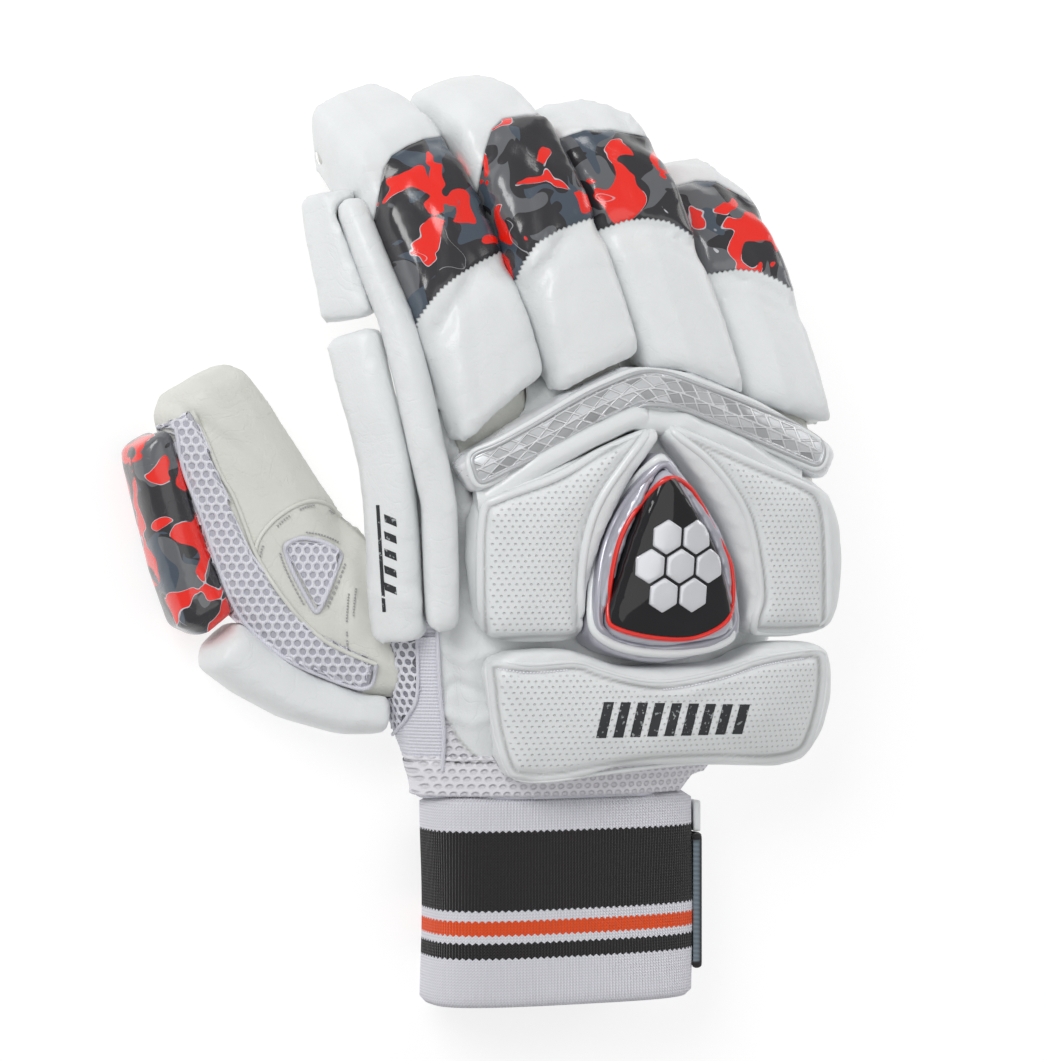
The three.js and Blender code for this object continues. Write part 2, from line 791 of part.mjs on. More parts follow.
addPiece("cuff", cut(cuffLoft(0, 0), cuffLoft(-CUFF_WALL, CUT_REACH)), materials.knit);
addPiece(
  "wrist_strap",
  cuffSidePiece(WRIST_Y - TAB_START - TAB_WIDTH, STRAP_WIDTH, STRAP_HEIGHT),
  materials.strap,
);
addPiece(
  "cuff_tab",
  cuffSidePiece(WRIST_Y - TAB_START, TAB_WIDTH - CLEARANCE * 2, TAB_HEIGHT),
  materials.knit,
);

// Band across the knuckles
const up = new THREE.Vector3(0, 0, 1);
const bandRoll = (grow) => rollLoft(bandLine(), up, BAND_WIDTH, BAND_THICKNESS, BAND_SINK, grow);
const bandGrown = bandRoll(CLEARANCE);
addPiece("knuckle_band", largest(cut(bandRoll(0), handOuter, ...stallCutters)), materials.silver);

// Stalls and their three pads
const padsGrown = [];
FINGERS.forEach((finger, i) => {
  const spine = spines[i];
  const hollow = cut(
    stallLoft(finger, spine, 0, 0),
    stallLoft(finger, spine, -LEATHER, CUT_REACH),
  );
  addPiece(`${finger.name}_stall`, hollow, materials.cream);
  PAD_NAMES.forEach((name, pad) => {
    const solid = fingerPadLoft(finger, spine, pad, 0);
    const material = name === "knuckle_pad" ? materials.camouflage : materials.leather;
    addPiece(
      `${finger.name}_${name}`,
      largest(cut(solid, stallLoft(finger, spine, CLEARANCE, 0), handOuter, bandGrown)),
      material,
    );
    if (i === 0) padsGrown.push(fingerPadLoft(finger, spine, pad, CLEARANCE));
  });
});

// Strip and bars on the outer side of the forefinger
const outward = new THREE.Vector3(-0.65, -0.05, 0.75).normalize();
const stripOutward = new THREE.Vector3(-0.25, -0.05, 1).normalize();
const stripLine = sideLine(STRIP_LINE);
const stripRoll = (grow) =>
  rollLoft(stripLine, stripOutward, STRIP_WIDTH, STRIP_THICKNESS * 0.5, STRIP_THICKNESS * 0.5, grow);
addPiece(
  "side_strip",
  largest(cut(stripRoll(0), ...padsGrown, stallCutters[0], handOuter, bandGrown)),
  materials.leather,
);
const barRoll = (rows, grow = 0) =>
  rollLoft(sideLine(rows), outward, BAR_WIDTH, BAR_THICKNESS * 0.5, BAR_THICKNESS * 0.5, grow);
const barNeighbours = [stripRoll(CLEARANCE), ...padsGrown, stallCutters[0], handOuter, thumbOuter];
addPiece("side_bar_base", largest(cut(barRoll(BAR_BASE_LINE), ...barNeighbours)), materials.leather);
addPiece(
  "side_bar_tip",
  largest(cut(barRoll(BAR_TIP_LINE), barRoll(BAR_BASE_LINE, CLEARANCE), ...barNeighbours)),
  materials.leather,
);

// Pod with its dome, then the pads around it
const podSteps = 3;
const podOutline = roundedOutline(POD, 0, podSteps);
const domeFloor = POD_THICKNESS - POD_RECESS;
const domeOutline = roundedOutline(POD, -POD_RIM, podSteps);
const recessOutline = roundedOutline(POD, -POD_RIM + CLEARANCE, podSteps);
const pod = cut(
  drapedPad(podOutline, -PAD_SINK, POD_THICKNESS, POD_EDGE_RADIUS),
  drapedPad(recessOutline, domeFloor, 2 * POD_THICKNESS, CLEARANCE),
  handOuter,
);
addPiece("emblem_pod", largest(pod), materials.silver);
addPiece(
  "emblem_dome",
  drapedPad(domeOutline, domeFloor + CLEARANCE, POD_THICKNESS + DOME_RISE, POD_EDGE_RADIUS),
  materials.dome,
);
const podGrown = prism(roundedOutline(POD, CLEARANCE, podSteps), 0, 2 * HAND_HEIGHT);
const stripGrown = stripRoll(CLEARANCE);
const padNeighbours = [handOuter, podGrown, bandGrown, stripGrown, ...stallCutters];
const backPad = (rows, thickness) =>
  largest(cut(drapedPad(roundedOutline(rows), -PAD_SINK, thickness, PAD_EDGE_RADIUS), ...padNeighbours));
addPiece("back_pad_thumb_side", backPad(THUMB_SIDE_PAD, BACK_PAD_THICKNESS), materials.leather);
addPiece("back_pad_little_side", backPad(LITTLE_SIDE_PAD, BACK_PAD_THICKNESS), materials.leather);
addPiece("wrist_pad", backPad(WRIST_PAD, WRIST_PAD_THICKNESS), materials.leather);

// Thumb: its stall, two guards on its outer side and its mesh panels
addPiece("thumb_stall", cut(thumbLoft(0, 0), thumbLoft(-LEATHER, THUMB_TUCK)), materials.cream);
const guards = THUMB_GUARDS.map((guard) => largest(cut(guardLoft(guard), thumbOuter, handOuter)));
addPiece("thumb_tip_guard", guards[0], materials.camouflage);
addPiece("thumb_base_guard", guards[1], materials.leather);

const thumbSkin = cut(thumbLoft(CLEARANCE + PANEL_THICKNESS, 0), thumbOuter);
const ventPrism = prism(roundedOutline(VENT), THUMB_HEIGHT * 0.7, THUMB_HEIGHT * 2);
addPiece("thumb_vent", largest(cut(thumbSkin.intersect(ventPrism), handOuter)), materials.mesh);
const gussetRings = [0.93, 0.7, 0.5, 0.32, 0.16].map((t) => {
  const halfWidth = (thumbSize(t).width * THUMB_WIDTH) / 2;
  const sides = [
    [-halfWidth - GUARD_THICKNESS, 0],
    [-halfWidth * GUSSET_INNER, 0],
    [-halfWidth * GUSSET_INNER, THUMB_HEIGHT],
    [-halfWidth - GUARD_THICKNESS, THUMB_HEIGHT],
  ];
  return sides.map(([u, v]) => thumbPlace(t, u, v));
});
const guardsGrown = THUMB_GUARDS.map((guard) => guardLoft(guard, CLEARANCE));
const ventGrown = prism(roundedOutline(VENT, CLEARANCE), 0, THUMB_HEIGHT * 2);
addPiece(
  "thumb_gusset",
  largest(cut(thumbSkin.intersect(loft(gussetRings)), ...guardsGrown, handOuter, ventGrown)),
  materials.mesh,
);
const handSkin = cut(handLoft(CLEARANCE + PANEL_THICKNESS, 0), handOuter);
const sideMeshPrism = prism(roundedOutline(SIDE_MESH), HAND_HEIGHT * 0.25, HAND_HEIGHT);
const sideMesh = cut(
  handSkin.intersect(sideMeshPrism),
  thumbOuter,
  barRoll(BAR_BASE_LINE, CLEARANCE),
  stripGrown,
);
addPiece("side_gusset", largest(sideMesh), materials.mesh);

// The glove's origin is the middle of its underside.
const box = new THREE.Box3().setFromObject(glove);
const middle = box.getCenter(new THREE.Vector3());
glove.position.set(-middle.x, -middle.y, -box.min.z);

export default glove;
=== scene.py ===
import math

import bmesh
import bpy
import numpy as np
from mathutils import Matrix, Vector
from mathutils.bvhtree import BVHTree


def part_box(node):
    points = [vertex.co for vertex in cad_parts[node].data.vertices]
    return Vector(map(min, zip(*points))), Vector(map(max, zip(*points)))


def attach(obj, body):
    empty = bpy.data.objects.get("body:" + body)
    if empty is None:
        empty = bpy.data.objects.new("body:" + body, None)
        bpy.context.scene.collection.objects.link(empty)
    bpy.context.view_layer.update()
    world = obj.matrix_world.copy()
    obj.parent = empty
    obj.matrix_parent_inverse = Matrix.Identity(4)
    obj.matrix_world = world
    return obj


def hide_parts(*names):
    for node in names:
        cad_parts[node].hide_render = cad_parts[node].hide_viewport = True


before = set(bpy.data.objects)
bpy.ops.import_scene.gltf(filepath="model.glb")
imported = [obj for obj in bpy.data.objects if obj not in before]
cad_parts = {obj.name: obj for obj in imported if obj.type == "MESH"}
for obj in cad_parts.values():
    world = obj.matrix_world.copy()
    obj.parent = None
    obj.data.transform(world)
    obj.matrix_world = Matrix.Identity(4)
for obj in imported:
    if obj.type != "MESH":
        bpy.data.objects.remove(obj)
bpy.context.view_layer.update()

bl_info = {
    "name": "Cricket batting glove",
    "version": (1, 0, 0),
    "blender": (4, 5, 0),
    "location": "3D View > Sidebar > Glove",
    "description": "Leather, padding, knit and trim of a padded batting glove",
    "category": "Object",
}

MM = 0.001
PICTURE = (1045, 1061)
DOT = 0.32 * MM
FINGERS = ("index", "middle", "ring", "little")
UP = Vector((0, 0, 1))

# The place on the glove that the camera is level with, and how far to the right and up it aims from
# there, in millimetres.
AIM = (-6.59, 0.19, 40.17)
AIM_SHIFT = (12.64, 1.44)

# Frames for which the covers are left to swell.
SWELLING = 20

# Width of the edge between two printed patches, as a step of the noise that draws them.
PATCH_EDGE = 0.007

# Material and slot of the cords.
WHITE = ("White piping", "leather_white")
CREAM = ("Cream piping", "leather_cream")
BINDING = ("Mesh binding", "mesh")
SILVER = ("Silver piping", "silver_trim")
RING = ("Badge ring", "silver_trim")
RED = ("Red line", "emblem")

# Stripes of the cuff, from the hand outwards: where each starts, as a share of the length, and its colour.
CUFF_STRIPES = (
    (0.0, "knit_white"),
    (0.165, "knit_black"),
    (0.54, "knit_white"),
    (0.588, "orange"),
    (0.655, "knit_white"),
    (0.692, "knit_black"),
    (0.765, "knit_white"),
)


def colour_property(label, value, about):
    return bpy.props.FloatVectorProperty(
        name=label, description=about, subtype="COLOR", size=3, min=0, max=1, default=value
    )


def length_property(label, value, about):
    return bpy.props.FloatProperty(name=label, description=about, unit="LENGTH", min=0, default=value)


class GloveSizes(bpy.types.PropertyGroup):
    """Sizes of the glove's finish"""

    pad_voxel: length_property("Pad step", 2.0 * MM, "Size of the faces a finger pad is shaped from")
    back_voxel: length_property("Back pad step", 1.9 * MM, "Size of the faces a back pad is shaped from")
    leather_voxel: length_property("Leather step", 1.25 * MM, "Size of the faces of the leather walls")
    swell: length_property("Swell", 0.7 * MM, "The most that the filling pushes a cover out")
    rim: length_property("Rim", 1.5 * MM, "Radius of the rolled rim round a back pad")
    rim_depth: length_property("Rim depth", 0.7 * MM, "Depth of the bed inside that rim")
    crown: length_property("Crown", 1.5 * MM, "Rise of a back pad's middle")
    piping: length_property("Piping", 1.0 * MM, "Radius of the piping")
    thread: length_property("Thread", 0.32 * MM, "Radius of the sewing thread")
    stitch: length_property("Stitch", 2.3 * MM, "Length of a stitch and the gap after it")
    hole_pitch: length_property("Hole pitch", 2.25 * MM, "Distance between the holes in the leather")
    wale: length_property("Wale", 1.1 * MM, "Width of a column of the knit")
    net_pitch: length_property("Net pitch", 3.0 * MM, "Distance between the holes of the air mesh")
    strand: length_property("Strand", 1.6 * MM, "Thickness of the air mesh's strands")


class GloveColours(bpy.types.PropertyGroup):
    """Colours of the glove's finish"""

    white_leather: colour_property("White leather", (0.79, 0.81, 0.815), "Pads and rolls")
    cream_leather: colour_property("Cream leather", (0.70, 0.705, 0.655), "Palm, fingers and thumb")
    charcoal: colour_property("Charcoal", (0.026, 0.024, 0.028), "Darkest camouflage patch")
    grey: colour_property("Grey", (0.125, 0.130, 0.140), "Middle camouflage patch")
    slate: colour_property("Slate", (0.062, 0.085, 0.115), "Bluish camouflage patch")
    red: colour_property("Red", (0.88, 0.018, 0.008), "Bright camouflage patch and badge line")
    silver: colour_property("Silver", (0.57, 0.585, 0.60), "Band across the knuckles")
    ring: colour_property("Badge ring", (0.50, 0.50, 0.57), "Smooth ring round the badge")
    badge: colour_property("Badge", (0.008, 0.008, 0.009), "Glossy dome")
    knit_white: colour_property("Knit white", (0.82, 0.82, 0.88), "White yarn")
    knit_black: colour_property("Knit black", (0.014, 0.012, 0.013), "Black yarn")
    orange: colour_property("Orange", (0.90, 0.085, 0.006), "Orange yarn")
    webbing: colour_property("Webbing", (0.185, 0.235, 0.275), "Woven label of the strap")
    print: colour_property("Print", (0.025, 0.028, 0.032), "Dark print")


class GloveStage(bpy.types.PropertyGroup):
    """Camera and light"""

    distance: length_property("Distance", 1.1, "From the camera to the glove")
    tilt: bpy.props.FloatProperty(
        name="Tilt",
        description="Lean of the view to the thumb's side",
        subtype="ANGLE",
        default=math.radians(22),
    )
    field: length_property("Field", 0.3395, "Height that the picture takes in at the glove")
    floor: length_property("Floor", 6.0, "Width of the floor")


def sizes():
    return bpy.context.scene.glove_sizes


def colour(name):
    return (*getattr(bpy.context.scene.glove_colours, name), 1.0)


# Materials


def add(tree, kind, inputs=None, **settings):
    """A shader node with its settings, its inputs set to values or wired to sockets."""
    made = tree.nodes.new(kind)
    for key, value in settings.items():
        setattr(made, key, value)
    for key, value in (inputs or {}).items():
        if isinstance(value, bpy.types.NodeSocket):
            tree.links.new(value, made.inputs[key])
        else:
            made.inputs[key].default_value = value
    return made


def calc(tree, operation, *values):
    return add(tree, "ShaderNodeMath", dict(enumerate(values)), operation=operation).outputs[0]


def times(tree, first, second):
    return calc(tree, "MULTIPLY", first, second)


def plus(tree, first, second):
    return calc(tree, "ADD", first, second)


def minus(tree, first, second):
    return calc(tree, "SUBTRACT", first, second)


def blend(tree, share, first, second):
    return add(tree, "ShaderNodeMix", {0: share, 6: first, 7: second}, data_type="RGBA").outputs[2]


def step(tree, value, low, high):
    """0 below low and 1 above high, with a smooth change between them."""
    inputs = {"Value": value, "From Min": low, "From Max": high}
    return add(tree, "ShaderNodeMapRange", inputs, interpolation_type="SMOOTHSTEP").outputs[0]


def remap(tree, value, low, high, first, last):
    """Turns the range from low to high into the range from first to last."""
    inputs = {"Value": value, "From Min": low, "From Max": high, "To Min": first, "To Max": last}
    return add(tree, "ShaderNodeMapRange", inputs).outputs[0]


def patch(tree, field, level):
    """1 where a field is above a level, with the sharp edge of a print."""
    return step(tree, field, level, level + PATCH_EDGE)


def noise(tree, place, scale, detail=2.0, distortion=0.0, shift=0.0):
    if shift:
        place = add(tree, "ShaderNodeVectorMath", {0: place, 1: (shift, -shift, 2 * shift)}).outputs[0]
    inputs = {"Vector": place, "Scale": scale, "Detail": detail, "Distortion": distortion}
    return add(tree, "ShaderNodeTexNoise", inputs).outputs[0]


def place_of(tree):
    return add(tree, "ShaderNodeTexCoord").outputs["Object"]


def mask_of(tree, name):
    return add(tree, "ShaderNodeAttribute", attribute_name=name).outputs["Fac"]


def new_group(name, inputs, outputs):
    """A node group with its ends, as the tree, the input node and the output node."""
    tree = bpy.data.node_groups.new(name, "ShaderNodeTree")
    for label, kind, value in inputs:
        socket = tree.interface.new_socket(label, in_out="INPUT", socket_type=kind)
        if value is not None:
            socket.default_value = value
    for label, kind in outputs:
        tree.interface.new_socket(label, in_out="OUTPUT", socket_type=kind)
    return tree, tree.nodes.new("NodeGroupInput"), tree.nodes.new("NodeGroupOutput")


def use_group(tree, name, inputs):
    return add(tree, "ShaderNodeGroup", inputs, node_tree=bpy.data.node_groups[name])


def grained(tree, place, grain, creases):
    """The leather's height and shade, with its grain and creases as strong as asked."""
    return use_group(tree, "Leather grain", {"Place": place, "Grain": grain, "Creases": creases})


def parts_of(tree, vector):
    """The three numbers of a vector."""
    return add(tree, "ShaderNodeSeparateXYZ", {0: vector}).outputs


def shaded(tree, colours, value):
    return add(tree, "ShaderNodeHueSaturation", {"Value": value, "Color": colours}).outputs[0]


def make_grain_group():
    """Leather: pebbled grain, soft creases, and a slight change of shade."""
    tree, start, end = new_group(
        "Leather grain",
        [
            ("Place", "NodeSocketVector", None),
            ("Grain", "NodeSocketFloat", 1.0),
            ("Creases", "NodeSocketFloat", 1.0),
        ],
        [("Height", "NodeSocketFloat"), ("Shade", "NodeSocketFloat")],
    )
    place = start.outputs["Place"]
    pebbles = add(tree, "ShaderNodeTexVoronoi", {"Vector": place, "Scale": 1500.0}).outputs[0]
    pores = noise(tree, place, 520.0, 4.0)
    soft = noise(tree, place, 42.0, 3.0, 0.6)
    line = calc(tree, "ABSOLUTE", minus(tree, noise(tree, place, 75.0, 3.0, 1.4, 0.3), 0.5))
    crease = step(tree, line, 0.0, 0.035)
    fine = calc(tree, "MULTIPLY_ADD", pebbles, 0.5, times(tree, pores, 0.8))
    folds = calc(tree, "MULTIPLY_ADD", crease, 0.5, times(tree, soft, 1.6))
    grain = times(tree, fine, start.outputs["Grain"])
    height = calc(tree, "MULTIPLY_ADD", folds, start.outputs["Creases"], grain)
    shade = calc(tree, "MULTIPLY_ADD", minus(tree, soft, 0.5), 0.10, times(tree, pores, 0.03))
    tree.links.new(height, end.inputs["Height"])
    tree.links.new(shade, end.inputs["Shade"])


def make_camouflage_group():
    """Printed camouflage: lobed patches of charcoal, grey, slate and red, with a few painted highlight
    lines along patch edges.
    """
    tree, start, end = new_group(
        "Camouflage",
        [("Place", "NodeSocketVector", None), ("Splash", "NodeSocketFloat", 0.011)],
        [("Color", "NodeSocketColor"), ("Height", "NodeSocketFloat")],
    )
    place = start.outputs["Place"]
    grey_field = noise(tree, place, 64.0, 0.6, 0.55, 0.11)
    slate_field = noise(tree, place, 66.0, 0.5, 0.6, 0.47)
    red_field = noise(tree, place, 96.0, 0.7, 0.8, 0.83)
    dark_field = noise(tree, place, 84.0, 0.5, 0.6, 1.31)
    bias = remap(tree, start.outputs["Splash"], 3 * MM, 17 * MM, 0.115, -0.075)
    red_field = plus(tree, red_field, bias)
    colours = blend(tree, patch(tree, grey_field, 0.5), colour("charcoal"), colour("grey"))
    slate = times(tree, patch(tree, slate_field, 0.55), patch(tree, grey_field, 0.42))
    colours = blend(tree, slate, colours, colour("slate"))
    colours = blend(tree, patch(tree, dark_field, 0.59), colours, colour("charcoal"))
    red = patch(tree, red_field, 0.56)
    colours = blend(tree, red, colours, colour("red"))
    # Painted highlight: thin pale lines along some edges of the red and slate patches.
    edge = calc(tree, "ABSOLUTE", minus(tree, red_field, 0.556))
    part = step(tree, noise(tree, place, 45.0, 0.0, 0.0, 2.1), 0.55, 0.57)
    line = times(tree, minus(tree, 1.0, step(tree, edge, 0.005, 0.010)), part)
    edge = calc(tree, "ABSOLUTE", minus(tree, slate_field, 0.55))
    part = step(tree, noise(tree, place, 45.0, 0.0, 0.0, 3.7), 0.6, 0.62)
    other = times(tree, minus(tree, 1.0, step(tree, edge, 0.002, 0.006)), part)
    lines = calc(tree, "MAXIMUM", line, times(tree, other, 0.6))
    colours = blend(tree, lines, colours, (0.55, 0.56, 0.60, 1))
    tree.links.new(colours, end.inputs["Color"])
    tree.links.new(plus(tree, red, lines), end.inputs["Height"])


def make_holes_group():
    """Round holes in staggered rows, seen from above."""
    tree, start, end = new_group(
        "Punched holes",
        [
            ("Place", "NodeSocketVector", None),
            ("Pitch", "NodeSocketFloat", 0.002),
            ("Radius", "NodeSocketFloat", 0.2),
        ],
        [("Mask", "NodeSocketFloat")],
    )
    split = parts_of(tree, start.outputs["Place"])
    along = calc(tree, "DIVIDE", split[0], start.outputs["Pitch"])
    rows = calc(tree, "DIVIDE", split[1], times(tree, start.outputs["Pitch"], 0.8))
    row = calc(tree, "FLOOR", rows)
    odd = times(tree, calc(tree, "FLOORED_MODULO", row, 2.0), 0.5)
    x = minus(tree, calc(tree, "FRACT", plus(tree, along, odd)), 0.5)
    y = minus(tree, calc(tree, "FRACT", rows), 0.5)
    distance = calc(tree, "SQRT", plus(tree, calc(tree, "POWER", x, 2.0), calc(tree, "POWER", y, 2.0)))
    inner = times(tree, start.outputs["Radius"], 0.45)
    tree.links.new(remap(tree, distance, inner, start.outputs["Radius"], 1.0, 0.0), end.inputs["Mask"])


def make_knit_group():
    """Ribbed knit: columns of slanted loops, from a map whose unit is one column by one row."""
    tree, start, end = new_group(
        "Knit",
        [("Map", "NodeSocketVector", None)],
        [("Height", "NodeSocketFloat"), ("Ridge", "NodeSocketFloat")],
    )
    split = parts_of(tree, start.outputs["Map"])
    side = calc(tree, "ABSOLUTE", minus(tree, calc(tree, "FRACT", split[0]), 0.5))
    ridge = minus(tree, 1.0, times(tree, side, 2.0))
    slanted = calc(tree, "FRACT", plus(tree, split[1], times(tree, side, 1.2)))
    loop = minus(tree, 1.0, calc(tree, "ABSOLUTE", calc(tree, "MULTIPLY_ADD", slanted, 2.0, -1.0)))
    fuzz = noise(tree, start.outputs["Map"], 2.6, 3.0)
    height = plus(tree, times(tree, calc(tree, "SQRT", loop), ridge), times(tree, fuzz, 0.5))
    tree.links.new(height, end.inputs["Height"])
    tree.links.new(loop, end.inputs["Ridge"])


def new_material(name, **fixed):
    """A material with a Principled shader, its plain inputs set on the shader itself."""
    material = bpy.data.materials.new(name)
    material.use_nodes = True
    tree = material.node_tree
    tree.nodes.clear()
    shader = tree.nodes.new("ShaderNodeBsdfPrincipled")
    output = tree.nodes.new("ShaderNodeOutputMaterial")
    tree.links.new(shader.outputs[0], output.inputs[0])
    for key, value in fixed.items():
        shader.inputs[key.replace("_", " ")].default_value = value
    return tree, shader


def bump(tree, shader, height, distance, strength=1.0):
    inputs = {"Height": height, "Distance": distance, "Strength": strength}
    tree.links.new(add(tree, "ShaderNodeBump", inputs).outputs[0], shader.inputs["Normal"])


def tinted(tree, base, level, group):
    """A colour whose shade follows the grain."""
    return shaded(tree, base, plus(tree, level, group.outputs["Shade"]))


def make_leather(name, base, roughness, grain=1.0, creases=1.0, depth=0.10 * MM, holes=False):
    """Leather with grain, painted shade along its seams and, where asked, punched holes darkened with
    painted shade.
    """
    tree, shader = new_material(name, Roughness=roughness, Coat_Weight=0.12, Coat_Roughness=0.35)
    place = place_of(tree)
    group = grained(tree, place, grain, creases)
    tint = tinted(tree, colour(base), 0.985, group)
    # Painted shade: a dark line along the seams, where the leather meets a welt, rim or border.
    dark = [channel * 0.42 for channel in colour(base)[:3]]
    seam = mask_of(tree, "seam")
    colours = blend(tree, times(tree, seam, 0.75), tint, (*dark, 1))
    height = group.outputs["Height"]
    if holes:
        inputs = {"Place": place, "Pitch": sizes().hole_pitch, "Radius": 0.23}
        punched = use_group(tree, "Punched holes", inputs).outputs[0]
        inside = step(tree, mask_of(tree, "inset"), 4.2 * MM, 5.2 * MM)
        punched = times(tree, punched, inside)
        # Painted shade: the punched holes are darkened. They are only a bump, with no opening.
        colours = blend(tree, times(tree, punched, 0.34), colours, (0.25, 0.26, 0.26, 1))
        height = minus(tree, height, times(tree, punched, 2.6))
    tree.links.new(colours, shader.inputs["Base Color"])
    bump(tree, shader, height, depth)


def make_finger_cover():
    """White leather under a glossy camouflage film, whose lower edge is pinked."""
    tree, shader = new_material("Finger cover", Coat_Roughness=0.15)
    place = place_of(tree)
    group = grained(tree, place, 0.8, 0.8)
    tint = tinted(tree, colour("white_leather"), 0.985, group)
    # Painted shade: a dark line where the film's upper edge creases into the leather.
    seam = times(tree, mask_of(tree, "seam"), 0.5)
    leather = blend(tree, seam, tint, (0.33, 0.34, 0.34, 1))
    tooth = calc(tree, "PINGPONG", mask_of(tree, "along"), 0.85 * MM)
    lower = minus(tree, mask_of(tree, "lower"), times(tree, tooth, 0.75))
    edge = calc(tree, "MINIMUM", lower, mask_of(tree, "upper"))
    film = step(tree, edge, -0.06 * MM, 0.06 * MM)
    shadow = minus(tree, 1.0, step(tree, edge, -0.55 * MM, -0.1 * MM))
    leather = blend(tree, shadow, (0.42, 0.44, 0.45, 1), leather)
    camouflage = use_group(tree, "Camouflage", {"Place": place, "Splash": mask_of(tree, "splash")})
    tree.links.new(blend(tree, film, leather, camouflage.outputs["Color"]), shader.inputs["Base Color"])
    gloss = remap(tree, film, 0.0, 1.0, 0.4, 0.24)
    tree.links.new(gloss, shader.inputs["Roughness"])
    coat = remap(tree, film, 0.0, 1.0, 0.12, 0.6)
    tree.links.new(coat, shader.inputs["Coat Weight"])
    grain = times(tree, group.outputs["Height"], minus(tree, 1.0, times(tree, film, 0.6)))
    prints = times(tree, camouflage.outputs["Height"], times(tree, film, 0.5))
    height = plus(tree, plus(tree, grain, prints), times(tree, film, 2.0))
    bump(tree, shader, height, 0.09 * MM)


def make_camouflage():
    tree, shader = new_material("Camouflage film", Roughness=0.24, Coat_Weight=0.6, Coat_Roughness=0.12)
    place = place_of(tree)
    group = use_group(tree, "Camouflage", {"Place": place, "Splash": 0.0088})
    fine = grained(tree, place, 0.35, 0.8)
    # Painted shade along the seams.
    seam = mask_of(tree, "seam")
    colours = blend(tree, times(tree, seam, 0.6), group.outputs["Color"], (0.01, 0.01, 0.012, 1))
    tree.links.new(colours, shader.inputs["Base Color"])
    height = calc(tree, "MULTIPLY_ADD", group.outputs["Height"], 0.5, fine.outputs["Height"])
    bump(tree, shader, height, 0.08 * MM)


def make_band_silver():
    """Silver film with raised ridges, each scale a little brighter or darker, as painted facet light."""
    tree, shader = new_material("Silver scales", Metallic=0.35, Roughness=0.3)
    row = calc(tree, "DIVIDE", mask_of(tree, "across"), 3.9 * MM)
    run = calc(tree, "DIVIDE", mask_of(tree, "along"), 5.0 * MM)
    number = calc(tree, "FLOOR", row)
    slant = calc(tree, "MULTIPLY_ADD", row, -0.75, times(tree, number, 0.37))
    first = plus(tree, run, slant)
    second = calc(tree, "MULTIPLY_ADD", row, 1.0, times(tree, run, 0.5))

    def line(value, width):
        near = calc(tree, "ABSOLUTE", minus(tree, calc(tree, "FRACT", value), 0.5))
        return step(tree, near, 0.5 - width, 0.5 - width * 0.25)

    ridge = calc(tree, "MAXIMUM", line(first, 0.13), line(second, 0.1))
    ridge = calc(tree, "MAXIMUM", ridge, times(tree, line(row, 0.13), 0.8))
    cell = calc(tree, "MULTIPLY_ADD", number, 31.7, calc(tree, "FLOOR", first))
    cell = calc(tree, "MULTIPLY_ADD", calc(tree, "FLOOR", second), 7.3, cell)
    chance = add(tree, "ShaderNodeTexWhiteNoise", {"W": cell}, noise_dimensions="1D").outputs[0]
    border = minus(tree, 1.0, step(tree, mask_of(tree, "inset"), 0.9 * MM, 1.3 * MM))
    ridge = calc(tree, "MAXIMUM", ridge, border)
    # Painted facet light: each scale gets its own brightness.
    shade = remap(tree, chance, 0.0, 1.0, 0.68, 1.3)
    tint = shaded(tree, colour("silver"), shade)
    colours = blend(tree, times(tree, ridge, 0.85), tint, (0.86, 0.87, 0.89, 1))
    tree.links.new(colours, shader.inputs["Base Color"])
    rough = remap(tree, chance, 0.0, 1.0, 0.24, 0.45)
    tree.links.new(rough, shader.inputs["Roughness"])
    brushed = noise(tree, place_of(tree), 900.0, 2.0)
    height = plus(tree, calc(tree, "MULTIPLY_ADD", ridge, 4.0, chance), times(tree, brushed, 0.3))
    bump(tree, shader, height, 0.08 * MM)


def make_plain(name, base, metallic, roughness, coat):
    """A smooth moulded surface with a slight unevenness."""
    fixed = {"Metallic": metallic, "Roughness": roughness, "Coat_Weight": coat, "Coat_Roughness": 0.05}
    tree, shader = new_material(name, **fixed)
    haze = noise(tree, place_of(tree), 90.0, 2.0)
    dark = (*[channel * 0.85 for channel in base[:3]], 1)
    tree.links.new(blend(tree, haze, dark, base), shader.inputs["Base Color"])


def make_dome_finish():
    """Glossy black inside the line of the badge, and the colour of its ring outside."""
    fixed = {"Roughness": 0.08, "Coat_Weight": 0.35, "Coat_Roughness": 0.03, "Specular_IOR_Level": 0.3}
    tree, shader = new_material("Badge dome", **fixed)
    inner = step(tree, mask_of(tree, "inset"), -0.2 * MM, 0.2 * MM)
    swirl = noise(tree, place_of(tree), 70.0, 1.0)
    black = blend(tree, swirl, colour("badge"), (0.016, 0.016, 0.019, 1))
    tree.links.new(blend(tree, inner, colour("ring"), black), shader.inputs["Base Color"])


def make_vinyl(name, base, roughness=0.32):
    tree, shader = new_material(name, Roughness=roughness, Coat_Weight=0.3, Coat_Roughness=0.25)
    place = place_of(tree)
    group = grained(tree, place, 0.5, 0.3)
    tint = tinted(tree, colour(base), 0.99, group)
    tree.links.new(tint, shader.inputs["Base Color"])
    bump(tree, shader, group.outputs["Height"], 0.06 * MM)


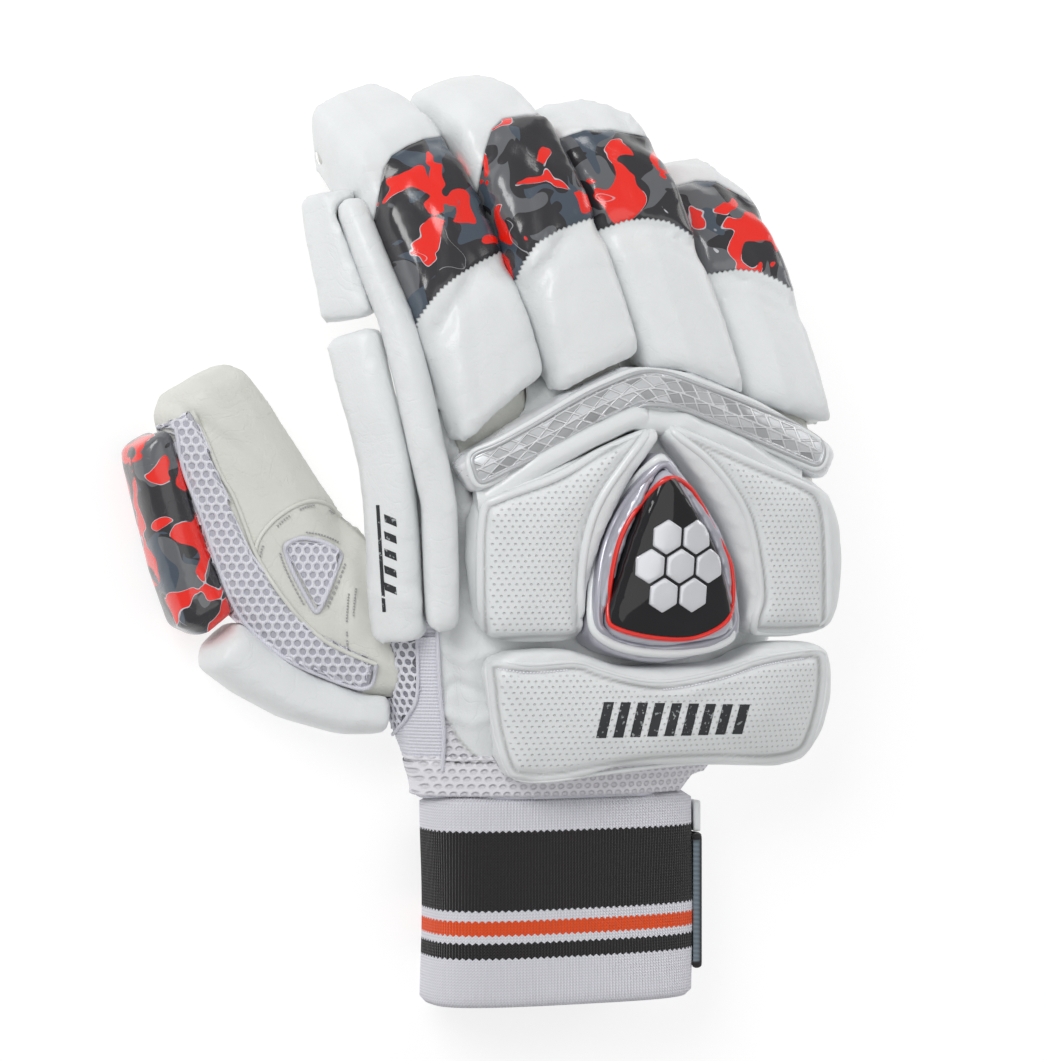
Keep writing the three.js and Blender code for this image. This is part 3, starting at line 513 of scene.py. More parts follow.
def make_knit_finish():
    """White, black and orange yarn, whose stripes meet in scallops two columns wide."""
    tree, shader = new_material("Striped knit", Roughness=0.95, Sheen_Weight=0.25, Sheen_Roughness=0.5)
    chart = add(tree, "ShaderNodeUVMap", uv_map="knit").outputs[0]
    group = use_group(tree, "Knit", {"Map": chart})
    split = parts_of(tree, chart)
    scallop = calc(tree, "PINGPONG", split[0], 1.0)
    share = mask_of(tree, "share")
    wavy = plus(tree, share, calc(tree, "MULTIPLY_ADD", scallop, 0.011, -0.0055))
    colours = colour(CUFF_STRIPES[0][1])
    for start, name in CUFF_STRIPES[1:]:
        colours = blend(tree, calc(tree, "GREATER_THAN", wavy, start), colours, colour(name))
    # Painted shade in the valleys between the knit's loops.
    valley_shade = minus(tree, 1.0, group.outputs["Ridge"])
    shade = minus(tree, 1.04, times(tree, valley_shade, 0.22))
    tree.links.new(shaded(tree, colours, shade), shader.inputs["Base Color"])
    bump(tree, shader, group.outputs["Height"], 0.35 * MM)


def make_air_mesh(name, base, shade):
    """Spacer mesh: rows of rounded cells with fine yarn."""
    tree, shader = new_material(name, Roughness=0.9, Sheen_Weight=0.3, Sheen_Roughness=0.4)
    place = place_of(tree)
    inputs = {"Vector": place, "Scale": 520.0, "Distortion": 3.0, "Detail": 1.0}
    yarn = add(tree, "ShaderNodeTexWave", inputs).outputs["Fac"]
    fuzz = noise(tree, place, 1400.0, 2.0)
    height = calc(tree, "MULTIPLY_ADD", fuzz, 0.7, times(tree, yarn, 0.6))
    colours = blend(tree, times(tree, yarn, 0.35), base, shade)
    tree.links.new(colours, shader.inputs["Base Color"])
    bump(tree, shader, height, 0.12 * MM)


def make_ribbed_backing():
    """Ribbed fabric with painted shade in its rib grooves, and painted shade where it lies behind the holes
    of the net.
    """
    tree, shader = new_material("Ribbed backing with hole shade", Roughness=0.95, Sheen_Weight=0.3, Sheen_Roughness=0.4)
    split = parts_of(tree, place_of(tree))
    ribs = calc(tree, "DIVIDE", calc(tree, "PINGPONG", split[1], 0.55 * MM), 0.55 * MM)
    yarn = calc(tree, "DIVIDE", calc(tree, "PINGPONG", split[0], 0.4 * MM), 0.4 * MM)
    fabric = blend(tree, ribs, (0.70, 0.70, 0.78, 1), (0.82, 0.82, 0.88, 1))
    holed = mask_of(tree, "holed")
    # Painted shade seen through the holes of the net.
    tree.links.new(blend(tree, holed, fabric, (0.30, 0.30, 0.34, 1)), shader.inputs["Base Color"])
    bump(tree, shader, calc(tree, "MULTIPLY_ADD", yarn, 0.4, ribs), 0.25 * MM)


def make_pocket_finish():
    """Cream leather, which changes to padded mesh near the wrist and to white leather on the back."""
    tree, shader = new_material("Pocket leather", Roughness=0.5, Coat_Weight=0.08, Coat_Roughness=0.4)
    place = place_of(tree)
    split = parts_of(tree, place)
    group = grained(tree, place, 1.0, 1.2)
    meshed = mask_of(tree, "meshed")
    back = step(tree, split[2], 24 * MM, 30 * MM)
    colours = blend(tree, back, colour("cream_leather"), colour("white_leather"))
    # Painted shade: a dark line along the seam at the mesh border.
    seam = mask_of(tree, "seam")
    colours = blend(tree, times(tree, seam, 0.7), colours, (0.33, 0.33, 0.31, 1))
    ribbed = mask_of(tree, "ribbed")
    # Painted shade in the grooves of the ribs.
    ribs = calc(tree, "PINGPONG", split[1], 0.65 * MM)
    ribs = calc(tree, "DIVIDE", ribs, 0.65 * MM)
    colours = blend(tree, ribbed, colours, blend(tree, ribs, (0.66, 0.66, 0.73, 1), (0.80, 0.80, 0.86, 1)))
    # Painted shade in the pits of the padded mesh.
    pits = use_group(tree, "Punched holes", {"Place": place, "Pitch": 3.1 * MM, "Radius": 0.4}).outputs[0]
    fabric = blend(tree, times(tree, pits, 0.35), (0.81, 0.80, 0.84, 1), (0.50, 0.49, 0.54, 1))
    colours = blend(tree, meshed, colours, fabric)
    tree.links.new(colours, shader.inputs["Base Color"])
    knobs = times(tree, pits, times(tree, meshed, -6.0))
    knobs = calc(tree, "MULTIPLY_ADD", times(tree, ribs, ribbed), 4.0, knobs)
    cloth = calc(tree, "MAXIMUM", meshed, ribbed)
    plain = times(tree, group.outputs["Height"], minus(tree, 1.0, cloth))
    rough = remap(tree, cloth, 0.0, 1.0, 0.5, 0.95)
    tree.links.new(rough, shader.inputs["Roughness"])
    bump(tree, shader, plus(tree, knobs, plain), 0.1 * MM)


def make_webbing():
    """Strap label: diagonal weave inside a dark bound edge."""
    tree, shader = new_material("Strap webbing", Roughness=0.75, Sheen_Weight=0.2, Sheen_Roughness=0.4)
    place = place_of(tree)
    split = parts_of(tree, place)
    slope = plus(tree, split[1], split[2])
    twill = calc(tree, "PINGPONG", slope, 0.8 * MM)
    twill = calc(tree, "DIVIDE", twill, 0.8 * MM)
    edge = mask_of(tree, "edge")
    colours = blend(tree, times(tree, twill, 0.5), colour("webbing"), (0.07, 0.09, 0.11, 1))
    colours = blend(tree, edge, colours, colour("knit_black"))
    tree.links.new(colours, shader.inputs["Base Color"])
    bump(tree, shader, twill, 0.2 * MM)


def make_printed():
    tree, shader = new_material("Dark print", Roughness=0.5)
    worn = noise(tree, place_of(tree), 700.0, 3.0)
    faded = step(tree, worn, 0.6, 0.68)
    tree.links.new(blend(tree, faded, colour("print"), (0.35, 0.37, 0.37, 1)), shader.inputs["Base Color"])


def make_floor_finish():
    tree, shader = new_material("Pale floor", Roughness=0.9, Emission_Strength=0.72)
    haze = noise(tree, place_of(tree), 3.0, 2.0)
    grey = blend(tree, haze, (0.34, 0.34, 0.34, 1), (0.36, 0.36, 0.36, 1))
    tree.links.new(grey, shader.inputs["Base Color"])
    shader.inputs["Emission Color"].default_value = (1, 1, 1, 1)


def make_materials():
    make_grain_group()
    make_camouflage_group()
    make_holes_group()
    make_knit_group()
    make_leather("White leather", "white_leather", 0.42)
    make_finger_cover()
    make_leather("Perforated leather", "white_leather", 0.5, grain=0.8, creases=0.5, holes=True)
    make_leather("Soft leather", "cream_leather", 0.55, grain=1.0, creases=1.2)
    make_camouflage()
    make_band_silver()
    make_plain("Badge ring", colour("ring"), 0.35, 0.28, 0.5)
    make_dome_finish()
    make_plain("Badge tiles", (0.80, 0.81, 0.85, 1), 0.3, 0.2, 0.8)
    make_plain("Red line", colour("red"), 0.0, 0.3, 0.6)
    make_plain("Silver piping", colour("silver"), 0.3, 0.35, 0.2)
    make_vinyl("White piping", "white_leather")
    make_vinyl("Cream piping", "cream_leather", 0.5)
    make_vinyl("White thread", "knit_white", 0.6)
    make_plain("Grey thread", (0.45, 0.45, 0.46, 1), 0.0, 0.7, 0.0)
    make_air_mesh("Mesh binding", (0.72, 0.72, 0.79, 1), (0.58, 0.58, 0.66, 1))
    make_knit_finish()
    make_air_mesh("Air mesh", (0.80, 0.80, 0.86, 1), (0.62, 0.62, 0.70, 1))
    # A grey sheet of painted shade, seen through the holes of the thumb's nets.
    make_air_mesh("Mesh hole shade", (0.50, 0.50, 0.56, 1), (0.40, 0.40, 0.45, 1))
    make_ribbed_backing()
    make_pocket_finish()
    make_webbing()
    make_printed()
    make_floor_finish()


# Shaping


def select_only(piece):
    bpy.ops.object.select_all(action="DESELECT")
    piece.select_set(True)
    bpy.context.view_layer.objects.active = piece


def points_of(piece, what="co"):
    flat = np.empty(len(piece.data.vertices) * 3)
    piece.data.vertices.foreach_get(what, flat)
    return flat.reshape(-1, 3)


def set_points(piece, points):
    piece.data.vertices.foreach_set("co", points.ravel())
    piece.data.update()


def push(piece, amount):
    """Moves the points of a piece outwards, by one amount or each by its own."""
    set_points(piece, points_of(piece) + points_of(piece, "normal") * np.asarray(amount)[..., None])


def write_mask(piece, name, values):
    """Gives the points of a piece a value that its material reads."""
    layer = piece.data.attributes.get(name) or piece.data.attributes.new(name, "FLOAT", "POINT")
    values = np.zeros(len(piece.data.vertices)) + values
    layer.data.foreach_set("value", values.astype(np.float32))


def bell(distance, width):
    """1 at no distance, fading out over a width in millimetres."""
    return np.exp(-((distance / (width * MM)) ** 2))


def ramp(distance, width):
    """0 up to no distance and 1 from a width in millimetres."""
    return np.clip(distance / (width * MM), 0, 1)


def new_piece(name, data):
    """An object in the scene."""
    piece = bpy.data.objects.new(name, data)
    bpy.context.scene.collection.objects.link(piece)
    return piece


def built(name, points, faces):
    """A piece from its points and faces."""
    mesh = bpy.data.meshes.new(name)
    mesh.from_pydata([tuple(point) for point in points], [], faces)
    return new_piece(name, mesh)


def modify(piece, kind, **settings):
    """Adds a modifier and applies it."""
    modifier = piece.modifiers.new(kind.title(), kind)
    for key, value in settings.items():
        setattr(modifier, key, value)
    select_only(piece)
    bpy.ops.object.modifier_apply(modifier=modifier.name)


def merged_copy(node, name):
    """A copy of a CAD node's mesh with its loose triangles merged."""
    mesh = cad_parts[node].data.copy()
    mesh.name = name
    mesh.materials.clear()
    piece = new_piece(name, mesh)
    work = bmesh.new()
    work.from_mesh(mesh)
    bmesh.ops.remove_doubles(work, verts=work.verts, dist=0.002 * MM)
    work.to_mesh(mesh)
    work.free()
    return piece


def soft_copy(node, name, voxel, rounds, shrink=0.0):
    """A CAD solid remeshed in even faces, its corners rounded off."""
    piece = merged_copy(node, name)
    modify(piece, "REMESH", mode="VOXEL", voxel_size=voxel)
    if rounds:
        modify(piece, "SMOOTH", factor=0.5, iterations=rounds)
    if shrink:
        push(piece, -shrink)
    return piece


def swell(pieces, pressure, most):
    """Lets the filling push the covers out by cloth simulation, each point by most at the most."""
    before = [points_of(piece) for piece in pieces]
    for piece in pieces:
        modifier = piece.modifiers.new("Cloth", "CLOTH")
        cloth = modifier.settings
        cloth.use_pressure = True
        cloth.uniform_pressure_force = pressure
        cloth.effector_weights.gravity = 0
        cloth.quality = 4
        cloth.mass = 0.05
        cloth.tension_stiffness = 12
        cloth.compression_stiffness = 12
        cloth.bending_stiffness = 0.2
        modifier.collision_settings.use_collision = False
        modifier.point_cache.frame_end = SWELLING
    for moment in range(1, SWELLING + 1):
        bpy.context.scene.frame_set(moment)
    for piece, start in zip(pieces, before):
        select_only(piece)
        bpy.ops.object.modifier_apply(modifier="Cloth")
        moved = points_of(piece) - start
        length = np.linalg.norm(moved, axis=1, keepdims=True)
        set_points(piece, start + moved * np.minimum(1, most / np.maximum(length, 1e-9)))
    bpy.context.scene.frame_set(1)


def refine(piece, levels):
    modify(piece, "SUBSURF", levels=levels, render_levels=levels)


def finish_piece(piece, material, slot, nodes=(), fill=None):
    """Gives a finished piece its material and smooth shading, puts it under the root body, and hides the
    CAD nodes it replaces.
    """
    piece.data.materials.clear()
    piece.data.materials.append(bpy.data.materials[material])
    select_only(piece)
    bpy.ops.object.shade_smooth()
    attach(piece, "root")
    if nodes:
        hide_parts(*nodes)
    return piece


def dense(line, spacing=0.4 * MM, closed=False):
    """The points of a line at an even spacing."""
    line = [Vector(point) for point in line]
    if closed:
        line = [*line, line[0]]
    points = []
    for first, second in zip(line, line[1:]):
        count = max(1, round((second - first).length / spacing))
        points += [first.lerp(second, i / count) for i in range(count)]
    return [*points, line[-1]]


def smooth_line(points, count, closed=False):
    """A rounded line through points, by Catmull and Rom's rule."""
    points = [Vector(point) for point in points]
    last = len(points) - 1
    spans = last + 1 if closed else last
    made = []
    for i in range(count if closed else count + 1):
        at = i / count * spans
        k = min(int(at), spans - 1)
        t = at - k
        if closed:
            a, b, c, d = (points[(k + j) % (last + 1)] for j in (-1, 0, 1, 2))
        else:
            a, b, c, d = (points[min(max(k + j, 0), last)] for j in (-1, 0, 1, 2))
        made.append(
            0.5
            * (2 * b + (c - a) * t + (2 * a - 5 * b + 4 * c - d) * t**2 + (3 * b - a - 3 * c + d) * t**3)
        )
    return made


def eye():
    """The camera's place, its side, up and back directions, and the slope of one dot of its picture."""
    stage = bpy.context.scene.glove_stage
    lean = stage.tilt
    right = Vector((math.cos(lean), 0, math.sin(lean)))
    ahead = Vector((math.sin(lean), 0, -math.cos(lean)))
    origin = Vector(AIM) * MM
    place = origin - ahead * stage.distance
    aim = origin + right * AIM_SHIFT[0] * MM + Vector((0, 1, 0)) * AIM_SHIFT[1] * MM
    back = (place - aim).normalized()
    side = Vector((0, 1, 0)).cross(back).normalized()
    return place, side, back.cross(side), back, stage.field / stage.distance / PICTURE[1]


def seen(points):
    """Where points lie in the picture, in dots from its upper left corner."""
    place, side, up, back, slope = eye()
    away = np.asarray(points) - np.array(place)
    depth = -(away @ np.array(back)) * slope
    x = PICTURE[0] / 2 + (away @ np.array(side)) / depth
    y = PICTURE[1] / 2 - (away @ np.array(up)) / depth
    return np.stack([x, y], 1)


def facing(piece):
    """1 where a piece faces the camera, and 0 where it turns away."""
    away = points_of(piece) - np.array(eye()[0])
    away /= np.linalg.norm(away, axis=1, keepdims=True)
    return np.clip(-(away * points_of(piece, "normal")).sum(1) * 3, 0, 1)


def beside(line, points, closed=False):
    """How far each point lies to the right of a line of the picture, and how far along it, in metres."""
    line = np.array([*line, line[0]] if closed else line, float)
    spots = seen(points)
    nearest = np.full(len(spots), np.inf)
    signed, along = np.zeros(len(spots)), np.zeros(len(spots))
    run = 0.0
    for k, (first, second) in enumerate(zip(line, line[1:])):
        course = second - first
        length = np.linalg.norm(course)
        low = 0 if closed or k else -np.inf
        high = 1 if closed or k < len(line) - 2 else np.inf
        share = np.clip((spots - first) @ course / length**2, low, high)
        gap = spots - first - share[:, None] * course
        distance = np.linalg.norm(gap, axis=1)
        closer = distance < nearest
        nearest[closer] = distance[closer]
        turn = np.sign(course[0] * gap[:, 1] - course[1] * gap[:, 0])
        signed[closer] = (distance * turn)[closer]
        along[closer] = (run + share * length)[closer]
        run += length
    return signed * DOT, along * DOT


def inset_from(piece, outline):
    """How far inside an outline of the picture each point that faces the camera lies."""
    return np.where(facing(piece) > 0, beside(drawn(outline, True, 6), points_of(piece), True)[0], 0)


def drawn(line, closed=False, spacing=2.5):
    """A rounded line through dots of the picture."""
    flat = [Vector((*spot, 0)) for spot in line]
    length = sum((b - a).length for a, b in zip(flat, flat[1:] + flat[:1] * closed))
    return [point.xy for point in smooth_line(flat, max(4, round(length / spacing)), closed)]


def shrunk(line, dots):
    """A closed clockwise line of the picture, rounded and moved inwards."""
    line = drawn(line, True)
    made = []
    for k, spot in enumerate(line):
        course = (line[(k + 1) % len(line)] - line[k - 1]).normalized()
        made.append(spot + Vector((-course.y, course.x)) * dots)
    return made


def traced(surface, line, lift=0.0, closed=False, rounds=3):
    """Points on a surface under a line drawn in the picture."""
    place, side, up, back, slope = eye()
    made = []
    for x, y in line:
        ray = (side * (x - PICTURE[0] / 2) + up * (PICTURE[1] / 2 - y)) * slope - back
        hit, normal = surface.ray_cast(place, ray)[:2]
        if hit:
            made.append(hit + normal * lift)
    points = np.array(made)
    for _ in range(rounds):
        if closed:
            middle = (np.roll(points, 1, 0) + np.roll(points, -1, 0)) / 2
            points = (points + middle) / 2
        else:
            points[1:-1] = (points[1:-1] * 2 + points[:-2] + points[2:]) / 4
    return points


def fold(piece, line, height, width, closed=False):
    """Raises a ridge with flat flanks along a line of the picture; a height below zero sinks it."""
    distance = np.abs(beside(line, points_of(piece), closed)[0])
    push(piece, np.clip(1 - distance / width, 0, 1) * facing(piece) * height)


def cord(name, surface, line, radius, lift=0.0, closed=False, look=WHITE):
    """A cord laid on a surface along a line of the picture."""
    path = traced(surface, drawn(line, closed), lift, closed, 6)
    return finish_piece(tube(name, path, radius, closed), *look)


def printed_bars(name, surface, bars):
    """Dark printed bars, each between four corners given in the picture."""
    points, faces = [], []
    for bar in bars:
        corners = [Vector(corner) for corner in bar]
        first = len(points)
        for i in range(13):
            for j in range(7):
                start = corners[0].lerp(corners[1], j / 6)
                end = corners[3].lerp(corners[2], j / 6)
                spot = start.lerp(end, i / 12)
                points.append(traced(surface, [spot], 0.09 * MM, rounds=0)[0])
        for i in range(12):
            for j in range(6):
                k = first + i * 7 + j
                faces.append((k, k + 1, k + 8, k + 7))
    return built(name, points, faces)


def surface_of(pieces):
    """A tree for casting rays onto some pieces together."""
    corners, faces = [], []
    for piece in pieces:
        first = len(corners)
        corners += [v.co.copy() for v in piece.data.vertices]
        faces += [[first + i for i in face.vertices] for face in piece.data.polygons]
    return BVHTree.FromPolygons(corners, faces)


def tube(name, points, radius, closed=False):
    """A round cord through points, as a mesh."""
    curve = bpy.data.curves.new(name, "CURVE")
    curve.dimensions = "3D"
    curve.bevel_depth = radius
    curve.bevel_resolution = 2
    curve.use_fill_caps = True
    spline = curve.splines.new("POLY")
    spline.points.add(len(points) - 1)
    for point, place in zip(spline.points, points):
        point.co = (*place, 1)
    spline.use_cyclic_u = closed
    piece = new_piece(name, curve)
    select_only(piece)
    bpy.ops.object.convert(target="MESH")
    return piece


def joined(pieces, name):
    bpy.ops.object.select_all(action="DESELECT")
    for piece in pieces:
        piece.select_set(True)
    bpy.context.view_layer.objects.active = pieces[0]
    bpy.ops.object.join()
    pieces[0].name = name
    pieces[0].data.name = name
    return pieces[0]


def stitches(name, lines):
    """A row of short thread stitches along each line, copied from one capsule."""
    bpy.ops.object.select_all(action="DESELECT")
    bpy.ops.mesh.primitive_uv_sphere_add(segments=6, ring_count=5, radius=1.0)
    capsule = bpy.context.object
    shape = points_of(capsule)
    faces = [list(face.vertices) for face in capsule.data.polygons]
    bpy.data.objects.remove(capsule)
    pitch, radius = sizes().stitch, sizes().thread
    points, polygons = [], []
    for line in lines:
        line = dense(line, pitch)
        for first, second in zip(line, line[1:]):
            along = second - first
            if along.length < pitch * 0.4:
                continue
            turn = np.array(along.to_track_quat("Z", "Y").to_matrix())
            scaled = shape * (radius, radius, along.length * 0.36)
            start = len(points)
            points += list(scaled @ turn.T + np.array((first + second) / 2))
            polygons += [[start + i for i in face] for face in faces]
    return built(name, points, polygons)


# Pieces


class PieceOperator:
    """What the glove's operators share"""

    bl_options = {"REGISTER", "UNDO"}

    def execute(self, context):
        self.build()
        return {"FINISHED"}


class GLOVE_OT_materials(PieceOperator, bpy.types.Operator):
    """Make every material of the glove"""

    bl_idname = "glove.materials"
    bl_label = "Materials"

    def build(self):
        make_materials()


# Lines of each finger in the picture: where the film starts above and ends below, the middle of
# its red splash, and the edges between the flat sides of its rolls.
FINGER_LINES = {
    "index": {
        "upper": ((376, 206), (384, 168), (392, 155), (408, 145), (425, 138), (447, 135)),
        "lower": ((416, 343), (418, 320), (431, 302), (442, 289), (458, 276), (479, 263), (503, 251)),
        "splash": (432, 200),
        "folds": (
            ((335, 88), (392, 156)),
            ((455, 290), (463, 360), (470, 436)),
            ((466, 436), (500, 408), (545, 372)),
        ),
    },
    "middle": {
        "upper": ((481, 170), (485, 150), (492, 129), (503, 118), (526, 114), (556, 114)),
        "lower": ((517, 279), (524, 263), (537, 244), (558, 231), (584, 221), (606, 216)),
        "splash": (520, 165),
        "folds": (
            ((432, 72), (497, 124)),
            ((548, 250), (554, 310), (560, 384)),
            ((556, 386), (600, 370), (640, 355)),
        ),
    },
    "ring": {
        "upper": ((566, 136), (584, 130), (611, 129), (640, 135)),
        "lower": ((604, 229), (626, 221), (647, 219), (668, 222), (689, 234), (701, 246)),
        "splash": (622, 175),
        "folds": (
            ((528, 96), (585, 130)),
            ((650, 235), (672, 300), (690, 362)),
            ((664, 370), (705, 380), (745, 392)),
        ),
    },
    "little": {
        "upper": ((672, 186), (695, 180), (716, 181), (742, 196)),
        "lower": ((712, 274), (737, 270), (758, 272), (779, 281), (795, 293), (806, 302)),
        "splash": (738, 222),
        "folds": (
            ((658, 152), (700, 180)),
            ((752, 285), (772, 340), (785, 400)),
            ((760, 398), (790, 410), (828, 420)),
        ),
    },
}


class GLOVE_OT_finger_pads(PieceOperator, bpy.types.Operator):
    """Make the three padded rolls of each finger, which meet without a step"""

    bl_idname = "glove.finger_pads"
    bl_label = "Finger pads"

    slots = {"base": "leather_white", "knuckle": "camouflage", "tip": "leather_white"}

    def build(self):
        rolls = {}
        for finger in FINGERS:
            parts = [merged_copy(f"{finger}_{part}_pad", finger) for part in self.slots]
            roll = joined(parts, finger + "_roll")
            modify(roll, "REMESH", mode="VOXEL", voxel_size=sizes().pad_voxel)
            modify(roll, "SMOOTH", factor=0.5, iterations=4)
            rolls[finger] = roll
        swell(list(rolls.values()), 5.0, sizes().swell)
        for finger, roll in rolls.items():
            refine(roll, 1)
            self.shape(finger, roll)
            self.split(finger, roll)

    def shape(self, finger, roll):
        """Flat sides and creases, and the masks that the film follows."""
        lines = FINGER_LINES[finger]
        for line in lines["folds"]:
            fold(roll, line, 0.8 * MM, 4.6 * MM)
        upper = beside(lines["upper"], points_of(roll))[0]
        lower, along = beside(lines["lower"], points_of(roll))
        chance = np.random.default_rng(FINGERS.index(finger) + 4)
        points = points_of(roll)
        crease = 0.45 * MM * bell(upper, 0.7)
        leans, depths = chance.uniform(-0.4, 0.4, 3), chance.uniform(0.1, 0.2, 3)
        for at, lean, deep in zip((0.12, 0.3, 0.45), leans, depths):
            bent = lower - at * 100 * MM - lean * (along - 15 * MM)
            crease += deep * MM * bell(bent, 1.3)
        film = ramp(np.minimum(upper, -lower), 0.6)
        push(roll, film * 0.25 * MM - crease * facing(roll))
        write_mask(roll, "upper", upper)
        write_mask(roll, "lower", -lower)
        write_mask(roll, "along", along)
        # Mask of the painted shade along the crease at the film's upper edge.
        write_mask(roll, "seam", bell(upper, 0.45))
        splash = seen(points) - np.array(lines["splash"])
        write_mask(roll, "splash", np.linalg.norm(splash, axis=1) * DOT)

    def split(self, finger, roll):
        """Parts the roll into the pads of the finger."""
        ways = roll.data.attributes.new("way", "FLOAT_VECTOR", "POINT")
        ways.data.foreach_set("vector", points_of(roll, "normal").astype(np.float32).ravel())
        trees = []
        for part in self.slots:
            trees.append(surface_of([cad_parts[f"{finger}_{part}_pad"]]))
        nearest = []
        for face in roll.data.polygons:
            gaps = [tree.find_nearest(face.center)[3] for tree in trees]
            nearest.append(gaps.index(min(gaps)))
        for k, (part, slot) in enumerate(self.slots.items()):
            piece = new_piece(f"{finger}_{part}_cover", roll.data.copy())
            work = bmesh.new()
            work.from_mesh(piece.data)
            work.faces.ensure_lookup_table()
            other = [face for face, part_number in zip(work.faces, nearest) if part_number != k]
            bmesh.ops.delete(work, geom=other, context="FACES")
            work.to_mesh(piece.data)
            work.free()
            finish_piece(piece, "Finger cover", slot, [f"{finger}_{part}_pad"], fill=0.8)
            mesh = piece.data
            flat = np.empty(len(mesh.vertices) * 3, np.float32)
            mesh.attributes["way"].data.foreach_get("vector", flat)
            mesh.attributes.remove(mesh.attributes["way"])
            mesh.normals_split_custom_set_from_vertices(flat.reshape(-1, 3).tolist())
        bpy.data.objects.remove(roll)


